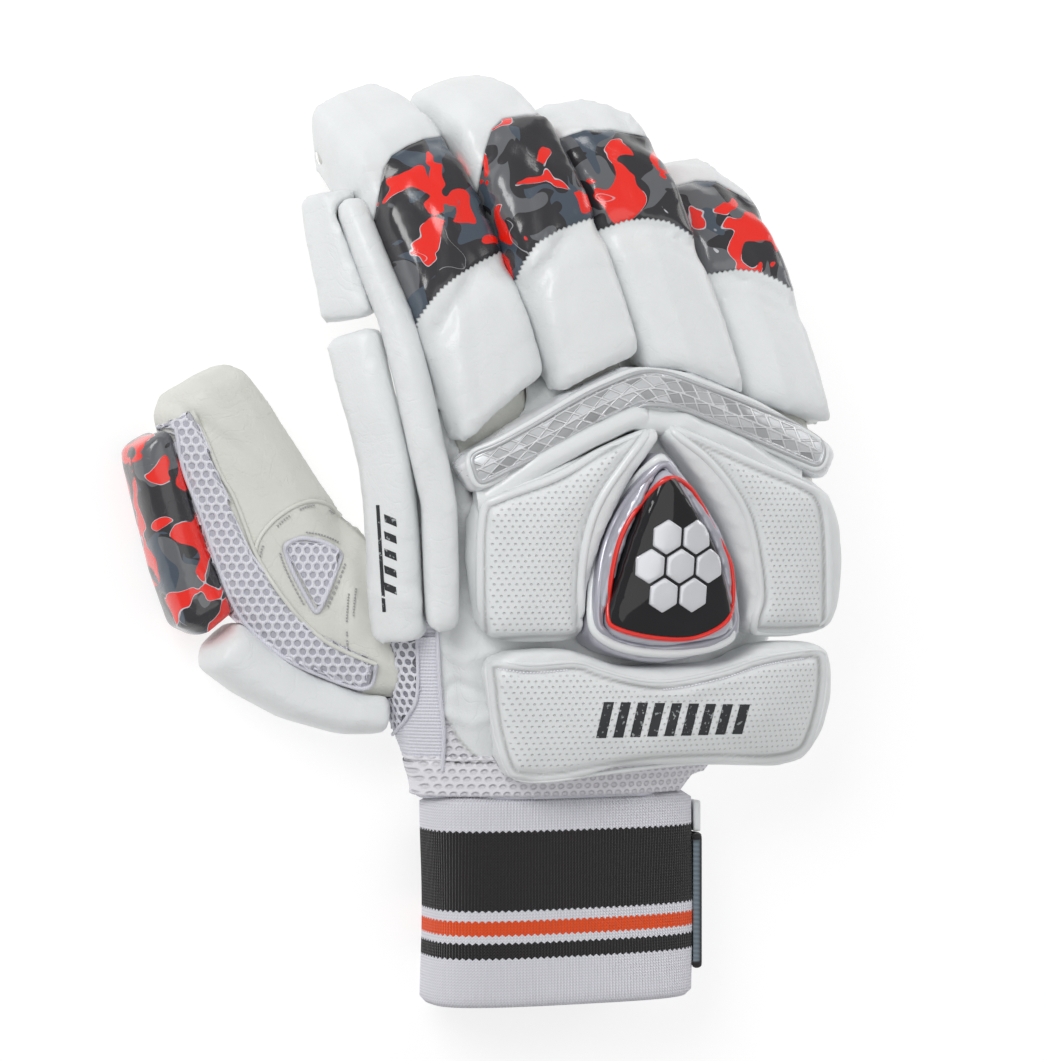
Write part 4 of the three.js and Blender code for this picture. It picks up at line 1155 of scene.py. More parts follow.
class GLOVE_OT_leather(PieceOperator, bpy.types.Operator):
    """Make the leather walls: pocket, finger stalls and thumb"""

    bl_idname = "glove.leather"
    bl_label = "Leather"

    def build(self):
        voxel = sizes().leather_voxel
        for finger in FINGERS:
            node = f"{finger}_stall"
            piece = soft_copy(node, node + "_leather", voxel, 4, 0.25 * MM)
            self.wrinkle(piece, 0.3 * MM, 0.012)
            write_mask(piece, "seam", 0)
            finish_piece(piece, "Soft leather", "leather_cream", [node])
        self.thumb(voxel)
        self.pocket(voxel)
        self.web()

    web_size = (9.5 * MM, 16 * MM, 10.3 * MM)
    thickening = 1.5
    tuck = 1.6

    def web(self):
        """The leather between the little finger and the side of the hand."""
        stall = points_of(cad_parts["little_stall"])
        root = stall[stall[:, 1] < stall[:, 1].min() + 10 * MM]
        spot = (root.min(0) + root.max(0)) / 2 - np.array([0, 3.5 * MM, 0])
        bpy.ops.object.select_all(action="DESELECT")
        bpy.ops.mesh.primitive_uv_sphere_add(
            segments=48, ring_count=24, radius=1, location=spot, scale=self.web_size
        )
        web = bpy.context.object
        bpy.ops.object.transform_apply(location=True, rotation=True, scale=True)
        web.name = web.data.name = "finger_web"
        write_mask(web, "seam", 0)
        finish_piece(web, "Soft leather", "leather_cream")

    def thumb(self, voxel):
        thumb = soft_copy("thumb_stall", "thumb_leather", voxel, 5)
        self.wrinkle(thumb, 0.7 * MM, 0.02)
        for line, height, width in self.thumb_folds:
            fold(thumb, drawn(line), height * MM, width * MM)
        # Mask of the painted shade along the thumb's arc and vent seams.
        seam = np.zeros(len(thumb.data.vertices))
        for line, closed in ((self.thumb_arc, False), (self.vent_edge, True)):
            away = np.abs(beside(drawn(line, closed), points_of(thumb), closed)[0])
            seam = np.maximum(seam, bell(away, 0.6) * facing(thumb))
        write_mask(thumb, "seam", seam)
        finish_piece(thumb, "Soft leather", "leather_cream", ["thumb_stall"])
        surface = surface_of([thumb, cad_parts["thumb_vent"]])
        cord("thumb_arc_welt", surface, self.thumb_arc, 0.75 * MM, -0.1 * MM, False, CREAM)
        cord("vent_welt", surface, self.vent_edge, 0.8 * MM, 0.1 * MM, True, BINDING)
        lines = [traced(surface, drawn(line), 0.6 * MM) for line in self.thumb_stitches]
        lines.append(traced(surface, shrunk(self.vent_edge, -6), 0.6 * MM, True))
        finish_piece(stitches("thumb_stitching", lines), "Grey thread", "leather_cream")

    thumb_arc = ((254, 566), (257, 543), (271, 523), (291, 508), (311, 501), (327, 504), (341, 516))
    vent_edge = (
        (285, 549), (291, 542), (304, 538), (325, 543), (340, 553), (338, 565), (322, 604), (316, 612),
        (309, 602), (293, 572),
    )
    thumb_stitches = (
        ((258, 572), (262, 547), (275, 528), (293, 513), (311, 506), (326, 509), (338, 519)),
        ((352, 548), (350, 580), (347, 625), (350, 670), (358, 708)),
        ((358, 545), (356, 580), (353, 625), (356, 668), (364, 704)),
    )
    thumb_folds = (
        (((205, 392), (250, 440), (290, 500)), 0.9, 9.0),
        (((235, 380), (285, 430), (320, 492)), -0.7, 7.0),
        (((178, 400), (215, 470), (245, 545)), -0.6, 8.0),
        (((262, 398), (306, 442), (340, 500)), 0.7, 6.0),
        (((272, 600), (300, 640), (330, 672)), 0.6, 6.0),
        (((342, 540), (338, 600), (342, 650)), -0.7, 5.0),
        (((330, 515), (352, 530), (372, 536)), -0.8, 3.5),
        (((355, 548), (352, 600), (352, 660), (362, 710)), 0.5, 3.5),
    )

    def pocket(self, voxel):
        pocket = merged_copy("hand_pocket", "hand_leather")
        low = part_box("hand_pocket")[0]
        points, ways = points_of(pocket), points_of(pocket, "normal")
        for row, way in zip(points, ways):
            near = points[np.abs(points[:, 1] - row[1]) < 12 * MM]
            middle = (near.min(0) + near.max(0)) / 2
            inner = (row - middle)[0] * way[0] + (row - middle)[2] * way[2] < 0
            row += way * inner * self.thickening * MM
        set_points(pocket, points)
        modify(pocket, "REMESH", mode="VOXEL", voxel_size=voxel)
        modify(pocket, "SMOOTH", factor=0.5, iterations=6)
        points = points_of(pocket)
        calm = ramp(points[:, 1] - low.y - 4 * MM, 10)
        self.wrinkle(pocket, 0.5 * MM, 0.015)
        set_points(pocket, points + (points_of(pocket) - points) * calm[:, None])
        for line, height, width in self.pocket_folds:
            fold(pocket, drawn(line), height * MM, width * MM)
        points = points_of(pocket)
        end = points[points[:, 1] < low.y + 8 * MM]
        middle = (end.min(0) + end.max(0)) / 2
        away = points - middle
        away[:, 1] = 0
        away /= np.linalg.norm(away, axis=1, keepdims=True)
        tail = ramp(low.y + 8 * MM - points[:, 1], 3)
        points -= away * (tail * self.tuck * MM)[:, None]
        set_points(pocket, points)
        border = beside(drawn(self.mesh_border), points)[0]
        write_mask(pocket, "meshed", ramp(border, 0.5) * (points[:, 2] > 12 * MM))
        ribs = beside(drawn(self.rib_border), points)[0]
        write_mask(pocket, "ribbed", ramp(ribs, 0.4) * (points[:, 1] < -25 * MM))
        # Mask of the painted shade along the mesh border.
        write_mask(pocket, "seam", bell(border, 0.5))
        finish_piece(pocket, "Pocket leather", "leather_cream", ["hand_pocket"])
        self.wrist_facing(low)
        self.rim(low)

    mesh_border = ((400, 742), (436, 716), (448, 722), (462, 744), (482, 762), (520, 792))
    rib_border = ((432, 600), (436, 640), (438, 700), (440, 760), (442, 820))
    pocket_folds = (
        (((438, 470), (456, 474), (474, 486)), -1.0, 2.6),
        (((440, 505), (458, 512), (476, 508)), 0.7, 3.0),
        (((441, 545), (455, 538), (472, 545)), -0.8, 2.4),
        (((442, 585), (460, 594), (476, 590)), 0.6, 3.0),
        (((443, 628), (460, 622), (478, 632)), -0.9, 2.4),
        (((446, 652), (462, 660), (480, 656)), 0.7, 2.8),
        (((446, 690), (460, 684), (484, 694)), -0.9, 2.4),
        (((452, 716), (470, 722), (490, 716)), 0.7, 3.0),
        (((449, 470), (452, 560), (450, 640), (456, 720)), -0.6, 2.6),
        (((466, 480), (462, 560), (466, 640), (472, 700)), 0.5, 3.0),
    )

    def wrist_facing(self, low):
        """The sewn-on strip of padded mesh round the wrist end.

        Where a loose row near the end leaves the wall, it goes straight on from the rows above.
        """
        surface = surface_of([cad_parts["hand_pocket"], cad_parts["side_gusset"]])
        pocket = points_of(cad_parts["hand_pocket"])
        across, rows, loose = 180, 15, 6
        points, faces = [], []
        for j in range(rows + 1):
            y = low.y + (0.2 + 13 * j / rows) * MM
            ring = pocket[np.abs(pocket[:, 1] - y) < 6 * MM]
            middle = Vector((ring.min(0) + ring.max(0)) / 2)
            for i in range(across):
                turn = 2 * math.pi * i / across
                out = Vector((math.cos(turn), 0, math.sin(turn)))
                start = Vector((middle.x, y, middle.z)) + out * 0.2
                hit = surface.ray_cast(start, -out)[0] or points[-across]
                points.append(hit)
        points = np.array([tuple(point) for point in points]).reshape(rows + 1, across, 3)
        for j in range(loose - 1, -1, -1):
            slope = points[loose] - points[loose + 3]
            steep = np.linalg.norm(slope, axis=1, keepdims=True)
            slope = slope * np.minimum(1, 3.2 * MM / np.maximum(steep, 1e-9)) * (steep < 8 * MM)
            straight = points[loose] + slope * (loose - j) / 3
            straight[:, 1] = points[j, :, 1].max()
            off = np.linalg.norm(points[j] - straight, axis=1) > 0.8 * MM
            off = np.convolve(np.tile(off, 3), np.ones(7), "same")[across:2 * across] > 0
            points[j, off] = straight[off]
        for _ in range(8):
            points = (points * 2 + np.roll(points, 1, 1) + np.roll(points, -1, 1)) / 4
        for j in range(rows + 1):
            middle = (points[j].min(0) + points[j].max(0)) / 2
            out = points[j] - middle
            lift = (0.75 - 1.5 * max(0, j / rows - 0.6)) * MM
            points[j] += out / np.linalg.norm(out, axis=1, keepdims=True) * lift
            points[j, :, 2] = np.maximum(points[j, :, 2], 0.3 * MM)
            for i in range(across * (j < rows)):
                k, after = j * across + i, j * across + (i + 1) % across
                faces.append((k, after, after + across, k + across))
        piece = built("wrist_facing", points.reshape(-1, 3), faces)
        modify(piece, "SOLIDIFY", thickness=0.7 * MM, offset=-1)
        write_mask(piece, "meshed", points_of(piece)[:, 2] > 11 * MM)
        write_mask(piece, "ribbed", 0)
        write_mask(piece, "seam", 0)
        finish_piece(piece, "Pocket leather", "mesh")

    def rim(self, low):
        """The rolled binding round the wrist opening."""
        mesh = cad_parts["hand_pocket"].data
        ring = np.array([vertex.co for vertex in mesh.vertices if vertex.co.y < low.y + 0.1 * MM])
        middle = (ring.min(0) + ring.max(0)) / 2
        turn = np.arctan2(ring[:, 2] - middle[2], ring[:, 0] - middle[0])
        reach = np.linalg.norm(ring - middle, axis=1)
        far = []
        for a, p, r in zip(turn, ring, reach):
            if r > reach[np.abs(turn - a) < 0.12].max() - 0.3 * MM:
                far.append((a, p))
        far.sort(key=lambda item: item[0])
        path = [Vector(p) + (Vector(middle) - Vector(p)).normalized() * 1.1 * MM for _, p in far]
        path = [point for k, point in enumerate(path) if (point - path[k - 1]).length > 1.5 * MM]
        path = smooth_line(path, 160, True)
        for point in path:
            point.z = max(point.z, 1.6 * MM)
            point.y += 0.4 * MM
        finish_piece(tube("wrist_binding", path, 1.45 * MM, True), *BINDING)

    def wrinkle(self, piece, depth, scale):
        texture = bpy.data.textures.new(piece.name, "CLOUDS")
        texture.noise_scale = scale
        modify(piece, "DISPLACE", texture=texture, strength=depth, mid_level=0.5, texture_coords="LOCAL")


# Outlines in the picture, clockwise.
BACK_PAD_LINES = {
    "back_pad_thumb_side": (
        (478, 511), (498, 494), (555, 473), (594, 448), (638, 420), (649, 424), (648, 438), (630, 464),
        (609, 494), (595, 525), (587, 565), (586, 611), (587, 634), (576, 645), (536, 647), (490, 648),
        (477, 638), (475, 580),
    ),
    "back_pad_little_side": (
        (662, 421), (690, 429), (728, 446), (767, 464), (805, 480), (824, 494), (832, 523), (834, 581),
        (832, 628), (820, 636), (767, 638), (750, 634), (752, 615), (757, 596), (753, 558), (744, 519),
        (726, 487), (703, 460), (675, 438),
    ),
    "wrist_pad": (
        (487, 660), (530, 663), (577, 660), (603, 668), (637, 677), (670, 679), (720, 669), (760, 656),
        (800, 649), (822, 649), (829, 662), (827, 700), (817, 738), (803, 758), (770, 766), (720, 765),
        (653, 768), (603, 775), (557, 783), (522, 783), (505, 773), (492, 733), (486, 690),
    ),
}
BADGE_OUTLINE = (
    (667, 453), (701, 468), (727, 506), (746, 552), (750, 596), (743, 632), (717, 651), (671, 658),
    (625, 653), (596, 639), (586, 617), (589, 565), (599, 528), (618, 493), (645, 463),
)
BADGE_LINE = (
    (672, 477), (705, 504), (724, 535), (731, 565), (733, 596), (726, 622), (694, 638), (655, 638),
    (618, 629), (608, 616), (612, 573), (622, 535), (641, 504),
)
BAND_OUTLINE = (
    (472, 455), (498, 443), (536, 422), (575, 399), (605, 384), (640, 371), (671, 373), (709, 387),
    (748, 402), (786, 418), (813, 431), (824, 444), (824, 458), (817, 466), (803, 462), (767, 446),
    (728, 429), (690, 413), (655, 406), (632, 410), (594, 429), (555, 450), (517, 467), (490, 481),
    (479, 483), (473, 472),
)


class GLOVE_OT_back_pads(PieceOperator, bpy.types.Operator):
    """Make the moulded pads on the back of the hand, each with a rolled rim"""

    bl_idname = "glove.back_pads"
    bl_label = "Back pads"

    def build(self):
        made = {node: soft_copy(node, node + "_cover", sizes().back_voxel, 3) for node in BACK_PAD_LINES}
        swell(list(made.values()), 4.0, sizes().swell)
        for node, piece in made.items():
            refine(piece, 1)
            self.shape(piece, BACK_PAD_LINES[node])
            finish_piece(piece, "Perforated leather", "leather_perforated", [node], fill=0.7)
            surface = surface_of([piece])
            radius = sizes().rim * (0.5 if node == "wrist_pad" else 1)
            rim = shrunk(BACK_PAD_LINES[node], 2 if node == "wrist_pad" else 4)
            path = traced(surface, rim, -0.45 * radius, True, 8)
            roll = tube(node + "_rim", path, radius, True)
            finish_piece(roll, *WHITE)
        line = [spot for spot in shrunk(BACK_PAD_LINES["wrist_pad"], 10) if spot[1] < 690 and spot[0] < 815]
        path = traced(surface_of([made["wrist_pad"]]), line, 0.1 * MM)
        finish_piece(stitches("wrist_pad_stitches", [path]), "White thread", "leather_white")
        bars = []
        for k in range(9):
            x = 600 + 17 * k
            top, bottom = 702 + k * 0.3, 738 - k * 0.5
            bars.append(((x + 4, top), (x + 14, top), (x + 6, bottom), (x - 4, bottom)))
        surface = surface_of([made["wrist_pad"]])
        finish_piece(printed_bars("wrist_pad_print", surface, bars), "Dark print", "leather_perforated")

    def shape(self, piece, outline):
        """A shallow bed beside the rim, a raised middle, and the mask of the perforated field."""
        inset = inset_from(piece, outline)
        crown = ramp(inset - 3.2 * MM, 15)
        rise = crown * (2 - crown) * sizes().crown - bell(inset - 3.4 * MM, 1.0) * sizes().rim_depth
        push(piece, rise * facing(piece))
        write_mask(piece, "inset", inset)
        # Mask of the painted shade in the groove just inside the rolled rim.
        write_mask(piece, "seam", bell(inset - 2.9 * MM, 0.5))


class GLOVE_OT_knuckle_band(PieceOperator, bpy.types.Operator):
    """Make the silver band across the knuckles with its piping"""

    bl_idname = "glove.knuckle_band"
    bl_label = "Knuckle band"

    def build(self):
        piece = soft_copy("knuckle_band", "knuckle_band_cover", 1.2 * MM, 2)
        refine(piece, 1)
        upper_edge, lower_edge = BAND_OUTLINE[1:12], BAND_OUTLINE[-4:13:-1]
        middle = [((a[0] + b[0]) / 2, (a[1] + b[1]) / 2) for a, b in zip(upper_edge, lower_edge)]
        across, along = beside(drawn(middle), points_of(piece))
        inset = inset_from(piece, BAND_OUTLINE)
        for name, values in (("across", across), ("along", along), ("inset", inset)):
            write_mask(piece, name, values)
        push(piece, ramp(inset - 1.6 * MM, 4) * 0.5 * MM)
        finish_piece(piece, "Silver scales", "silver_trim", ["knuckle_band"], fill=0.8)
        surface = surface_of([piece])
        radius = sizes().piping
        cord("band_piping", surface, shrunk(BAND_OUTLINE, 1.5), radius * 0.7, 0.1 * MM, True, SILVER)
        lower = traced(surface, drawn([(x, y - 4) for x, y in BAND_OUTLINE[14:25]]), -5.5 * MM)
        for name, drop, sink, thick in (("knuckle_bed", 3, 0, 3), ("knuckle_bed_lower", 8.6, 1, 4.4)):
            path = lower - np.array(eye()[2]) * drop * MM - np.array(eye()[3]) * sink * MM
            finish_piece(tube(name, smooth_line(path, 60), thick * MM), *WHITE)
        cord("band_welt", surface, shrunk(BAND_OUTLINE, -2.5), radius * 1.1, -0.3 * MM, True)


class GLOVE_OT_badge(PieceOperator, bpy.types.Operator):
    """Make the badge: rolled rim, ring, dome and its tiles"""

    bl_idname = "glove.badge"
    bl_label = "Badge"

    def build(self):
        pod = soft_copy("emblem_pod", "badge_ring", 1.3 * MM, 1)
        refine(pod, 1)
        finish_piece(pod, "Badge ring", "silver_trim", ["emblem_pod"])
        dome = soft_copy("emblem_dome", "badge_dome", 1.2 * MM, 3)
        refine(dome, 1)
        inset = beside(drawn(BADGE_LINE, True, 6), points_of(dome), True)[0]
        rise = ramp(inset, 16) * facing(dome)
        points = points_of(dome)
        set_points(dome, points + np.array(UP) * (rise * (2 - rise) * 0.9 * MM)[:, None])
        write_mask(dome, "inset", inset)
        finish_piece(dome, "Badge dome", "emblem", ["emblem_dome"])
        both = surface_of([pod, dome])
        cord("badge_rim", both, shrunk(BADGE_OUTLINE, 4), 1.5 * MM, -0.5 * MM, True)
        cord("badge_inner_ring", both, shrunk(BADGE_OUTLINE, 11), 1.3 * MM, -0.45 * MM, True, RING)
        cord("badge_line", both, BADGE_LINE, 0.85 * MM, -0.05 * MM, True, RED)
        self.tiles(dome)

    def tiles(self, dome):
        """Seven raised six-sided tiles, draped over the dome."""
        low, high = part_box("emblem_dome")
        centre = Vector(((low.x + high.x) / 2, (low.y + high.y) / 2 - 2.5 * MM, high.z))
        radius, gap = 5.6 * MM, 0.9 * MM
        spots = [centre]
        for k in range(6):
            turn = math.radians(60 * k)
            reach = radius * math.sqrt(3) + gap
            spots.append(centre + Vector((math.cos(turn), math.sin(turn), 0)) * reach)
        surface = surface_of([dome])
        made = []
        for spot in spots:
            bpy.ops.object.select_all(action="DESELECT")
            bpy.ops.mesh.primitive_cylinder_add(
                vertices=6, radius=radius, depth=1.2 * MM, location=spot, end_fill_type="TRIFAN"
            )
            tile = bpy.context.object
            bpy.ops.object.transform_apply(location=True, rotation=True, scale=True)
            modify(tile, "BEVEL", width=0.5 * MM, segments=3, limit_method="ANGLE")
            modify(tile, "SUBSURF", levels=2, render_levels=2, subdivision_type="SIMPLE")
            points = points_of(tile)
            for row in points:
                hit = surface.ray_cast(Vector((row[0], row[1], 1.0)), -UP)[0]
                if hit:
                    row[2] += hit.z - spot.z + 0.15 * MM
            set_points(tile, points)
            made.append(tile)
        finish_piece(joined(made, "badge_tiles"), "Badge tiles", "silver_trim")


class GLOVE_OT_side_rolls(PieceOperator, bpy.types.Operator):
    """Make the long rolls beside the forefinger and the thumb's guards"""

    bl_idname = "glove.side_rolls"
    bl_label = "Side rolls"

    looks = {
        "side_strip": ("White leather", "leather_white"),
        "side_bar_base": ("White leather", "leather_white"),
        "side_bar_tip": ("White leather", "leather_white"),
        "thumb_base_guard": ("White leather", "leather_white"),
        "thumb_tip_guard": ("Camouflage film", "camouflage"),
    }
    folds = {
        "side_strip": (((352, 214), (388, 300), (412, 372), (424, 420), (440, 452)),),
        "side_bar_base": (
            ((358, 330), (372, 400), (396, 452), (404, 530), (404, 600)),
            ((384, 596), (432, 604)),
        ),
        "side_bar_tip": (((322, 196), (345, 250), (356, 300)),),
        "thumb_base_guard": (((237, 618), (290, 652), (338, 690)), ((222, 610), (206, 650))),
        "thumb_tip_guard": (((158, 436), (186, 500), (214, 570), (226, 604)), ((184, 622), (228, 600))),
    }

    def build(self):
        made = {node: soft_copy(node, node + "_cover", 1.9 * MM, 2) for node in self.looks}
        swell(list(made.values()), 5.0, sizes().swell)
        for node, piece in made.items():
            refine(piece, 1)
            for line in self.folds[node]:
                fold(piece, drawn(line), 0.5 * MM, 4.5 * MM)
            write_mask(piece, "seam", 0)
            material, slot = self.looks[node]
            finish_piece(piece, material, slot, [node], fill=0.8)
        self.print_on_bar(made["side_bar_base"])

    def print_on_bar(self, bar):
        """A row of slanted bars with a rule beside it."""
        bars = [((376, 505), (379.5, 505), (386, 612), (382.5, 612))]
        for k in range(5):
            y = 514 + 17 * k
            bars.append(((384, y), (396, y + 5), (397, y + 13), (385, y + 8)))
        finish_piece(printed_bars("side_bar_print", surface_of([bar]), bars), "Dark print", "leather_white")


class GLOVE_OT_mesh_panels(PieceOperator, bpy.types.Operator):
    """Make the open mesh panels with the backing sheets behind them, which carry painted shade"""

    bl_idname = "glove.mesh_panels"
    bl_label = "Mesh panels"

    def build(self):
        for node, backing, lean in (
            ("thumb_gusset", "Mesh hole shade", (0.55, -0.1, -1)),
            ("thumb_vent", "Mesh hole shade", (0, 0, -1)),
            ("side_gusset", "Ribbed backing with hole shade", (0.9, 0, -0.7)),
        ):
            # Each backing is a sheet of painted shade seen through the net. The side gusset's is also
            # ribbed fabric.
            piece = soft_copy(node, node + "_backing", 0.8 * MM, 1, 0.1 * MM)
            if node == "side_gusset":
                write_mask(piece, "holed", beside(self.holed, points_of(piece), True)[0] > 0)
            finish_piece(piece, backing, "mesh", [node])
            self.net(node, Vector(lean).normalized())
        surface = surface_of([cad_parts["thumb_gusset"], bpy.data.objects["thumb_leather"]])
        cord("gusset_welt", surface, self.gusset_inner, 0.75 * MM, 0.5 * MM, False, CREAM)
        cord("gusset_edge", surface, self.gusset_outer, 0.7 * MM, 0.3 * MM, False, BINDING)
        surface = surface_of([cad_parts["side_gusset"], bpy.data.objects["hand_leather"]])
        cord("side_gusset_welt", surface, self.side_edge, 0.7 * MM, 0.4 * MM, False, BINDING)
        cord("holed_edge", surface, self.holed[1:5], 0.6 * MM, 0.5 * MM, False, BINDING)

    gusset_inner = (
        (192, 411), (202, 431), (211, 452), (220, 474), (232, 494), (243, 521), (255, 553), (273, 584),
        (296, 614), (321, 638), (346, 652), (376, 664),
    )
    gusset_outer = (
        (176, 427), (184, 469), (202, 516), (219, 567), (240, 615), (279, 653), (317, 673), (366, 688),
        (376, 664),
    )
    side_edge = ((437, 625), (440, 690), (444, 730), (443, 770))
    holed = ((372, 612), (416, 612), (418, 690), (408, 716), (392, 736), (372, 740))

    def net(self, node, direction):
        """A honeycomb of strands over a panel."""
        surface = surface_of([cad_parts[node]])
        across = direction.cross(Vector((0, 1, 0))).normalized()
        along = across.cross(direction).normalized()
        low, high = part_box(node)
        middle, reach = (low + high) / 2, (high - low).length / 2
        pitch = sizes().net_pitch
        side = pitch / math.sqrt(3)
        count = math.ceil(reach / pitch) + 1
        corners, cells = {}, []
        for i in range(-count * 2, count * 2):
            for j in range(-count, count):
                u = (j + 0.5 * (i % 2)) * pitch
                v = i * pitch * math.sqrt(3) / 2
                cell = []
                for k in range(6):
                    turn = math.radians(60 * k + 30)
                    spot = (u + side * math.cos(turn), v + side * math.sin(turn))
                    key = tuple(round(number / (0.01 * MM)) for number in spot)
                    if key not in corners:
                        start = middle + across * key[0] * 0.01 * MM + along * key[1] * 0.01 * MM
                        hit, normal = surface.ray_cast(start - direction * 0.1, direction)[:2]
                        inside = hit and normal.dot(direction) < -0.2
                        corners[key] = (hit if inside else surface.find_nearest(start)[0], inside)
                    cell.append(key)
                centre = sum((corners[key][0] for key in cell), Vector()) / 6
                left_out = node == "side_gusset" and beside(self.holed, [centre], True)[0][0] < 0
                if sum(1 for key in cell if corners[key][1]) > 2 and not left_out:
                    cells.append(cell)
        order = {key: n for n, key in enumerate(sorted({key for cell in cells for key in cell}))}
        if not order:
            raise RuntimeError(f"no mesh cell fits on {node}")
        faces = [[order[key] for key in cell] for cell in cells]
        piece = built(node + "_net", [corners[key][0] for key in order], faces)
        modify(piece, "WIREFRAME", thickness=sizes().strand, use_even_offset=False, use_replace=True)
        modify(piece, "SUBSURF", levels=1, render_levels=1)
        finish_piece(piece, "Air mesh", "mesh")


class GLOVE_OT_cuff(PieceOperator, bpy.types.Operator):
    """Make the ribbed knit cuff with its strap"""

    bl_idname = "glove.cuff"
    bl_label = "Cuff"

    wall = 3.0 * MM
    tuck = 6
    squareness = 0.66
    rings = 58

    def build(self):
        low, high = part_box("cuff")
        width = (high.x - low.x) / 2
        height = (high.z - low.z) / 2
        around = 3.5 * (width + height)
        wales = 2 * round(around / sizes().wale / 2)
        self.sleeve(low, high, width, height, wales)
        self.strap()

    def sleeve(self, low, high, width, height, wales):
        """A sleeve knitted round, folded in at its hem, with its wales raised."""
        bpy.ops.object.select_all(action="DESELECT")
        bpy.ops.mesh.primitive_cylinder_add(vertices=wales * 3, radius=1, depth=1, end_fill_type="NOTHING")
        sleeve = bpy.context.object
        sleeve.name = sleeve.data.name = "knit_cuff"
        self.cut_rings(sleeve, self.rings)
        points = points_of(sleeve)
        turn = np.arctan2(points[:, 1], points[:, 0]) / (2 * math.pi) % 1
        share = 0.5 - points[:, 2]
        angle = self.even_angle(turn, width, height)
        length = high.y - low.y
        outer = 0.62
        out_share = np.clip(share / outer, 0, 1)
        in_share = np.clip((share - outer) / (1 - outer), 0, 1)
        y = np.where(share < outer, high.y - length * out_share, low.y + length * in_share)
        round_off = np.clip(1 - (y - low.y) / (self.wall * 0.5), 0, 1) ** 2 * self.wall * 0.5
        inward = np.where(share < outer, round_off, self.wall - round_off)
        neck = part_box("hand_pocket")[0].y
        inward = inward + ramp(y - neck + 1.8 * MM, 2.6) * self.tuck * MM
        rib = 0.3 * MM * (np.abs(np.cos(turn * math.pi * wales)) - 0.5)
        soft = 0.5 * MM * np.sin(y / (11 * MM)) * np.cos(3 * angle)
        radius = rib + soft - inward - 0.2 * MM
        x, z = self.section(angle)
        centre = ((low.x + high.x) / 2, (low.z + high.z) / 2)
        points = np.stack([centre[0] + x * (width + radius), y, centre[1] + z * (height + radius)], 1)
        points[:, 2] = np.maximum(points[:, 2], low.z + 0.05 * MM)
        set_points(sleeve, points)
        write_mask(sleeve, "share", (neck - y) / (neck - low.y))
        self.chart(sleeve, turn, y, wales)
        finish_piece(sleeve, "Striped knit", "knit", ["cuff"])

    def section(self, angle):
        """The sleeve's rounded section, one unit from its middle to its sides."""
        return [np.sign(way) * np.abs(way) ** self.squareness for way in (np.cos(angle), np.sin(angle))]

    def even_angle(self, turn, width, height):
        """Angles that lie evenly along the sleeve's section, for shares of a full turn."""
        angles = np.linspace(0, 2 * math.pi, 4001)
        x, z = self.section(angles)
        run = np.concatenate([[0], np.cumsum(np.hypot(np.diff(x * width), np.diff(z * height)))])
        return np.interp(turn, run / run[-1], angles)

    def cut_rings(self, piece, count):
        """Cuts the sleeve into rings."""
        select_only(piece)
        bpy.ops.object.mode_set(mode="EDIT")
        for k in range(1, count):
            bpy.ops.mesh.select_all(action="SELECT")
            bpy.ops.mesh.bisect(plane_co=(0, 0, 0.5 - k / count), plane_no=(0, 0, 1))
        bpy.ops.object.mode_set(mode="OBJECT")

    def chart(self, piece, turn, y, wales):
        """A map of the knit, one unit to a column and one to a row."""
        mesh = piece.data
        layer = mesh.uv_layers.new(name="knit")
        corner = np.empty(len(mesh.loops), np.int32)
        mesh.loops.foreach_get("vertex_index", corner)
        column = turn[corner] * wales
        faces = np.repeat(np.arange(len(mesh.polygons)), [face.loop_total for face in mesh.polygons])
        widest = np.zeros(len(mesh.polygons))
        np.maximum.at(widest, faces, column)
        column = np.where((column < wales * 0.25) & (widest[faces] > wales * 0.75), column + wales, column)
        row = y[corner] / (sizes().wale * 0.85)
        layer.data.foreach_set("uv", np.stack([column, row], 1).astype(np.float32).ravel())

    def strap(self):
        """The woven strap end and the bound tab above it."""
        strap = soft_copy("wrist_strap", "strap_label", 0.7 * MM, 2)
        points = points_of(strap)
        low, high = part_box("wrist_strap")
        ends = np.minimum(points[:, 1] - low.y, high.y - points[:, 1])
        spots = seen(points)[:, 0]
        sides = np.minimum(spots - spots.min(), spots.max() - spots) * DOT
        bound = np.maximum(ramp(2.4 * MM - ends, 0.3), ramp(0.75 * MM - sides, 0.2))
        push(strap, bound * 0.35 * MM)
        write_mask(strap, "edge", bound)
        finish_piece(strap, "Strap webbing", "strap", ["wrist_strap"])
        tab = soft_copy("cuff_tab", "cuff_tab_cover", 0.7 * MM, 2)
        finish_piece(tab, "White piping", "knit", ["cuff_tab"])


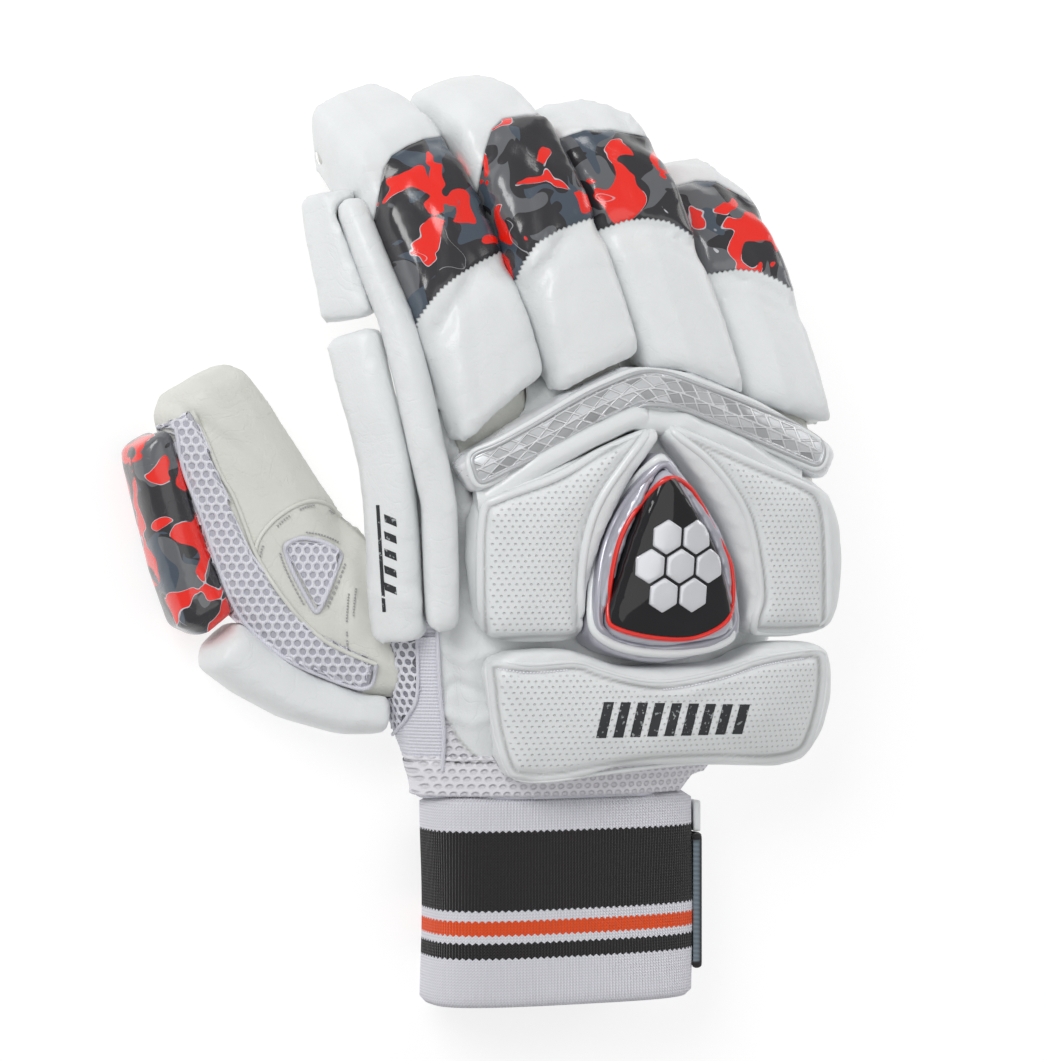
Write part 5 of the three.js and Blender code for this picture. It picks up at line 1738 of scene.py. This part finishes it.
class GLOVE_OT_stage(PieceOperator, bpy.types.Operator):
    """Make the floor, the lights and the camera"""

    bl_idname = "glove.stage"
    bl_label = "Stage"

    def build(self):
        stage = bpy.context.scene.glove_stage
        bpy.ops.object.select_all(action="DESELECT")
        bpy.ops.mesh.primitive_plane_add(size=stage.floor, location=(0, 0, 0))
        floor = bpy.context.object
        floor.name = "floor"
        floor.data.materials.append(bpy.data.materials["Pale floor"])
        self.lights()
        self.camera(stage)

    def lights(self):
        for name, place, size, power in (
            ("Key softbox", (-0.95, 0.75, 1.15), 0.8, 13),
            ("Overhead fill", (0.25, -0.2, 1.6), 1.2, 4),
            ("Right edge", (1.2, 0.5, 0.5), 0.6, 2.5),
        ):
            lamp = bpy.data.lights.new(name, "AREA")
            lamp.energy = power
            lamp.size = size
            holder = new_piece(name, lamp)
            holder.location = place
            holder.rotation_euler = (-Vector(place)).to_track_quat("-Z", "Y").to_euler()
        world = bpy.data.worlds.new("Soft studio")
        world.use_nodes = True
        bpy.context.scene.world = world
        sky = world.node_tree.nodes["Background"]
        sky.inputs[0].default_value = (1, 1, 1, 1)
        sky.inputs[1].default_value = 0.40
        bpy.context.scene.view_settings.view_transform = "Standard"

    def camera(self, stage):
        """Looks down on the back of the hand, leaning to the thumb's side."""
        place, side, up, back = eye()[:4]
        matrix = Matrix((side, up, back)).transposed().to_4x4()
        matrix.translation = place
        lens = bpy.data.cameras.new("Camera")
        lens.sensor_width = 36
        lens.lens = 36 * stage.distance / stage.field
        lens.clip_start, lens.clip_end = 0.05, 20
        camera = new_piece("Camera", lens)
        camera.matrix_world = matrix
        bpy.context.scene.camera = camera


OPERATORS = (
    GLOVE_OT_materials,
    GLOVE_OT_finger_pads,
    GLOVE_OT_leather,
    GLOVE_OT_back_pads,
    GLOVE_OT_knuckle_band,
    GLOVE_OT_badge,
    GLOVE_OT_side_rolls,
    GLOVE_OT_mesh_panels,
    GLOVE_OT_cuff,
    GLOVE_OT_stage,
)


class GLOVE_PT_panel(bpy.types.Panel):
    """Lists the steps that make the glove"""

    bl_idname = "GLOVE_PT_panel"
    bl_label = "Batting glove"
    bl_space_type = "VIEW_3D"
    bl_region_type = "UI"
    bl_category = "Glove"

    def draw(self, context):
        for kind in OPERATORS:
            self.layout.operator(kind.bl_idname)


GROUPS = {"glove_sizes": GloveSizes, "glove_colours": GloveColours, "glove_stage": GloveStage}
CLASSES = (*GROUPS.values(), *OPERATORS, GLOVE_PT_panel)


def register():
    for kind in CLASSES:
        bpy.utils.register_class(kind)
    for name, kind in GROUPS.items():
        setattr(bpy.types.Scene, name, bpy.props.PointerProperty(type=kind))


def unregister():
    for name in GROUPS:
        delattr(bpy.types.Scene, name)
    for kind in reversed(CLASSES):
        bpy.utils.unregister_class(kind)


def main():
    register()
    for kind in OPERATORS:
        group, name = kind.bl_idname.split(".")
        getattr(getattr(bpy.ops, group), name)()


if __name__ == "__main__":
    main()
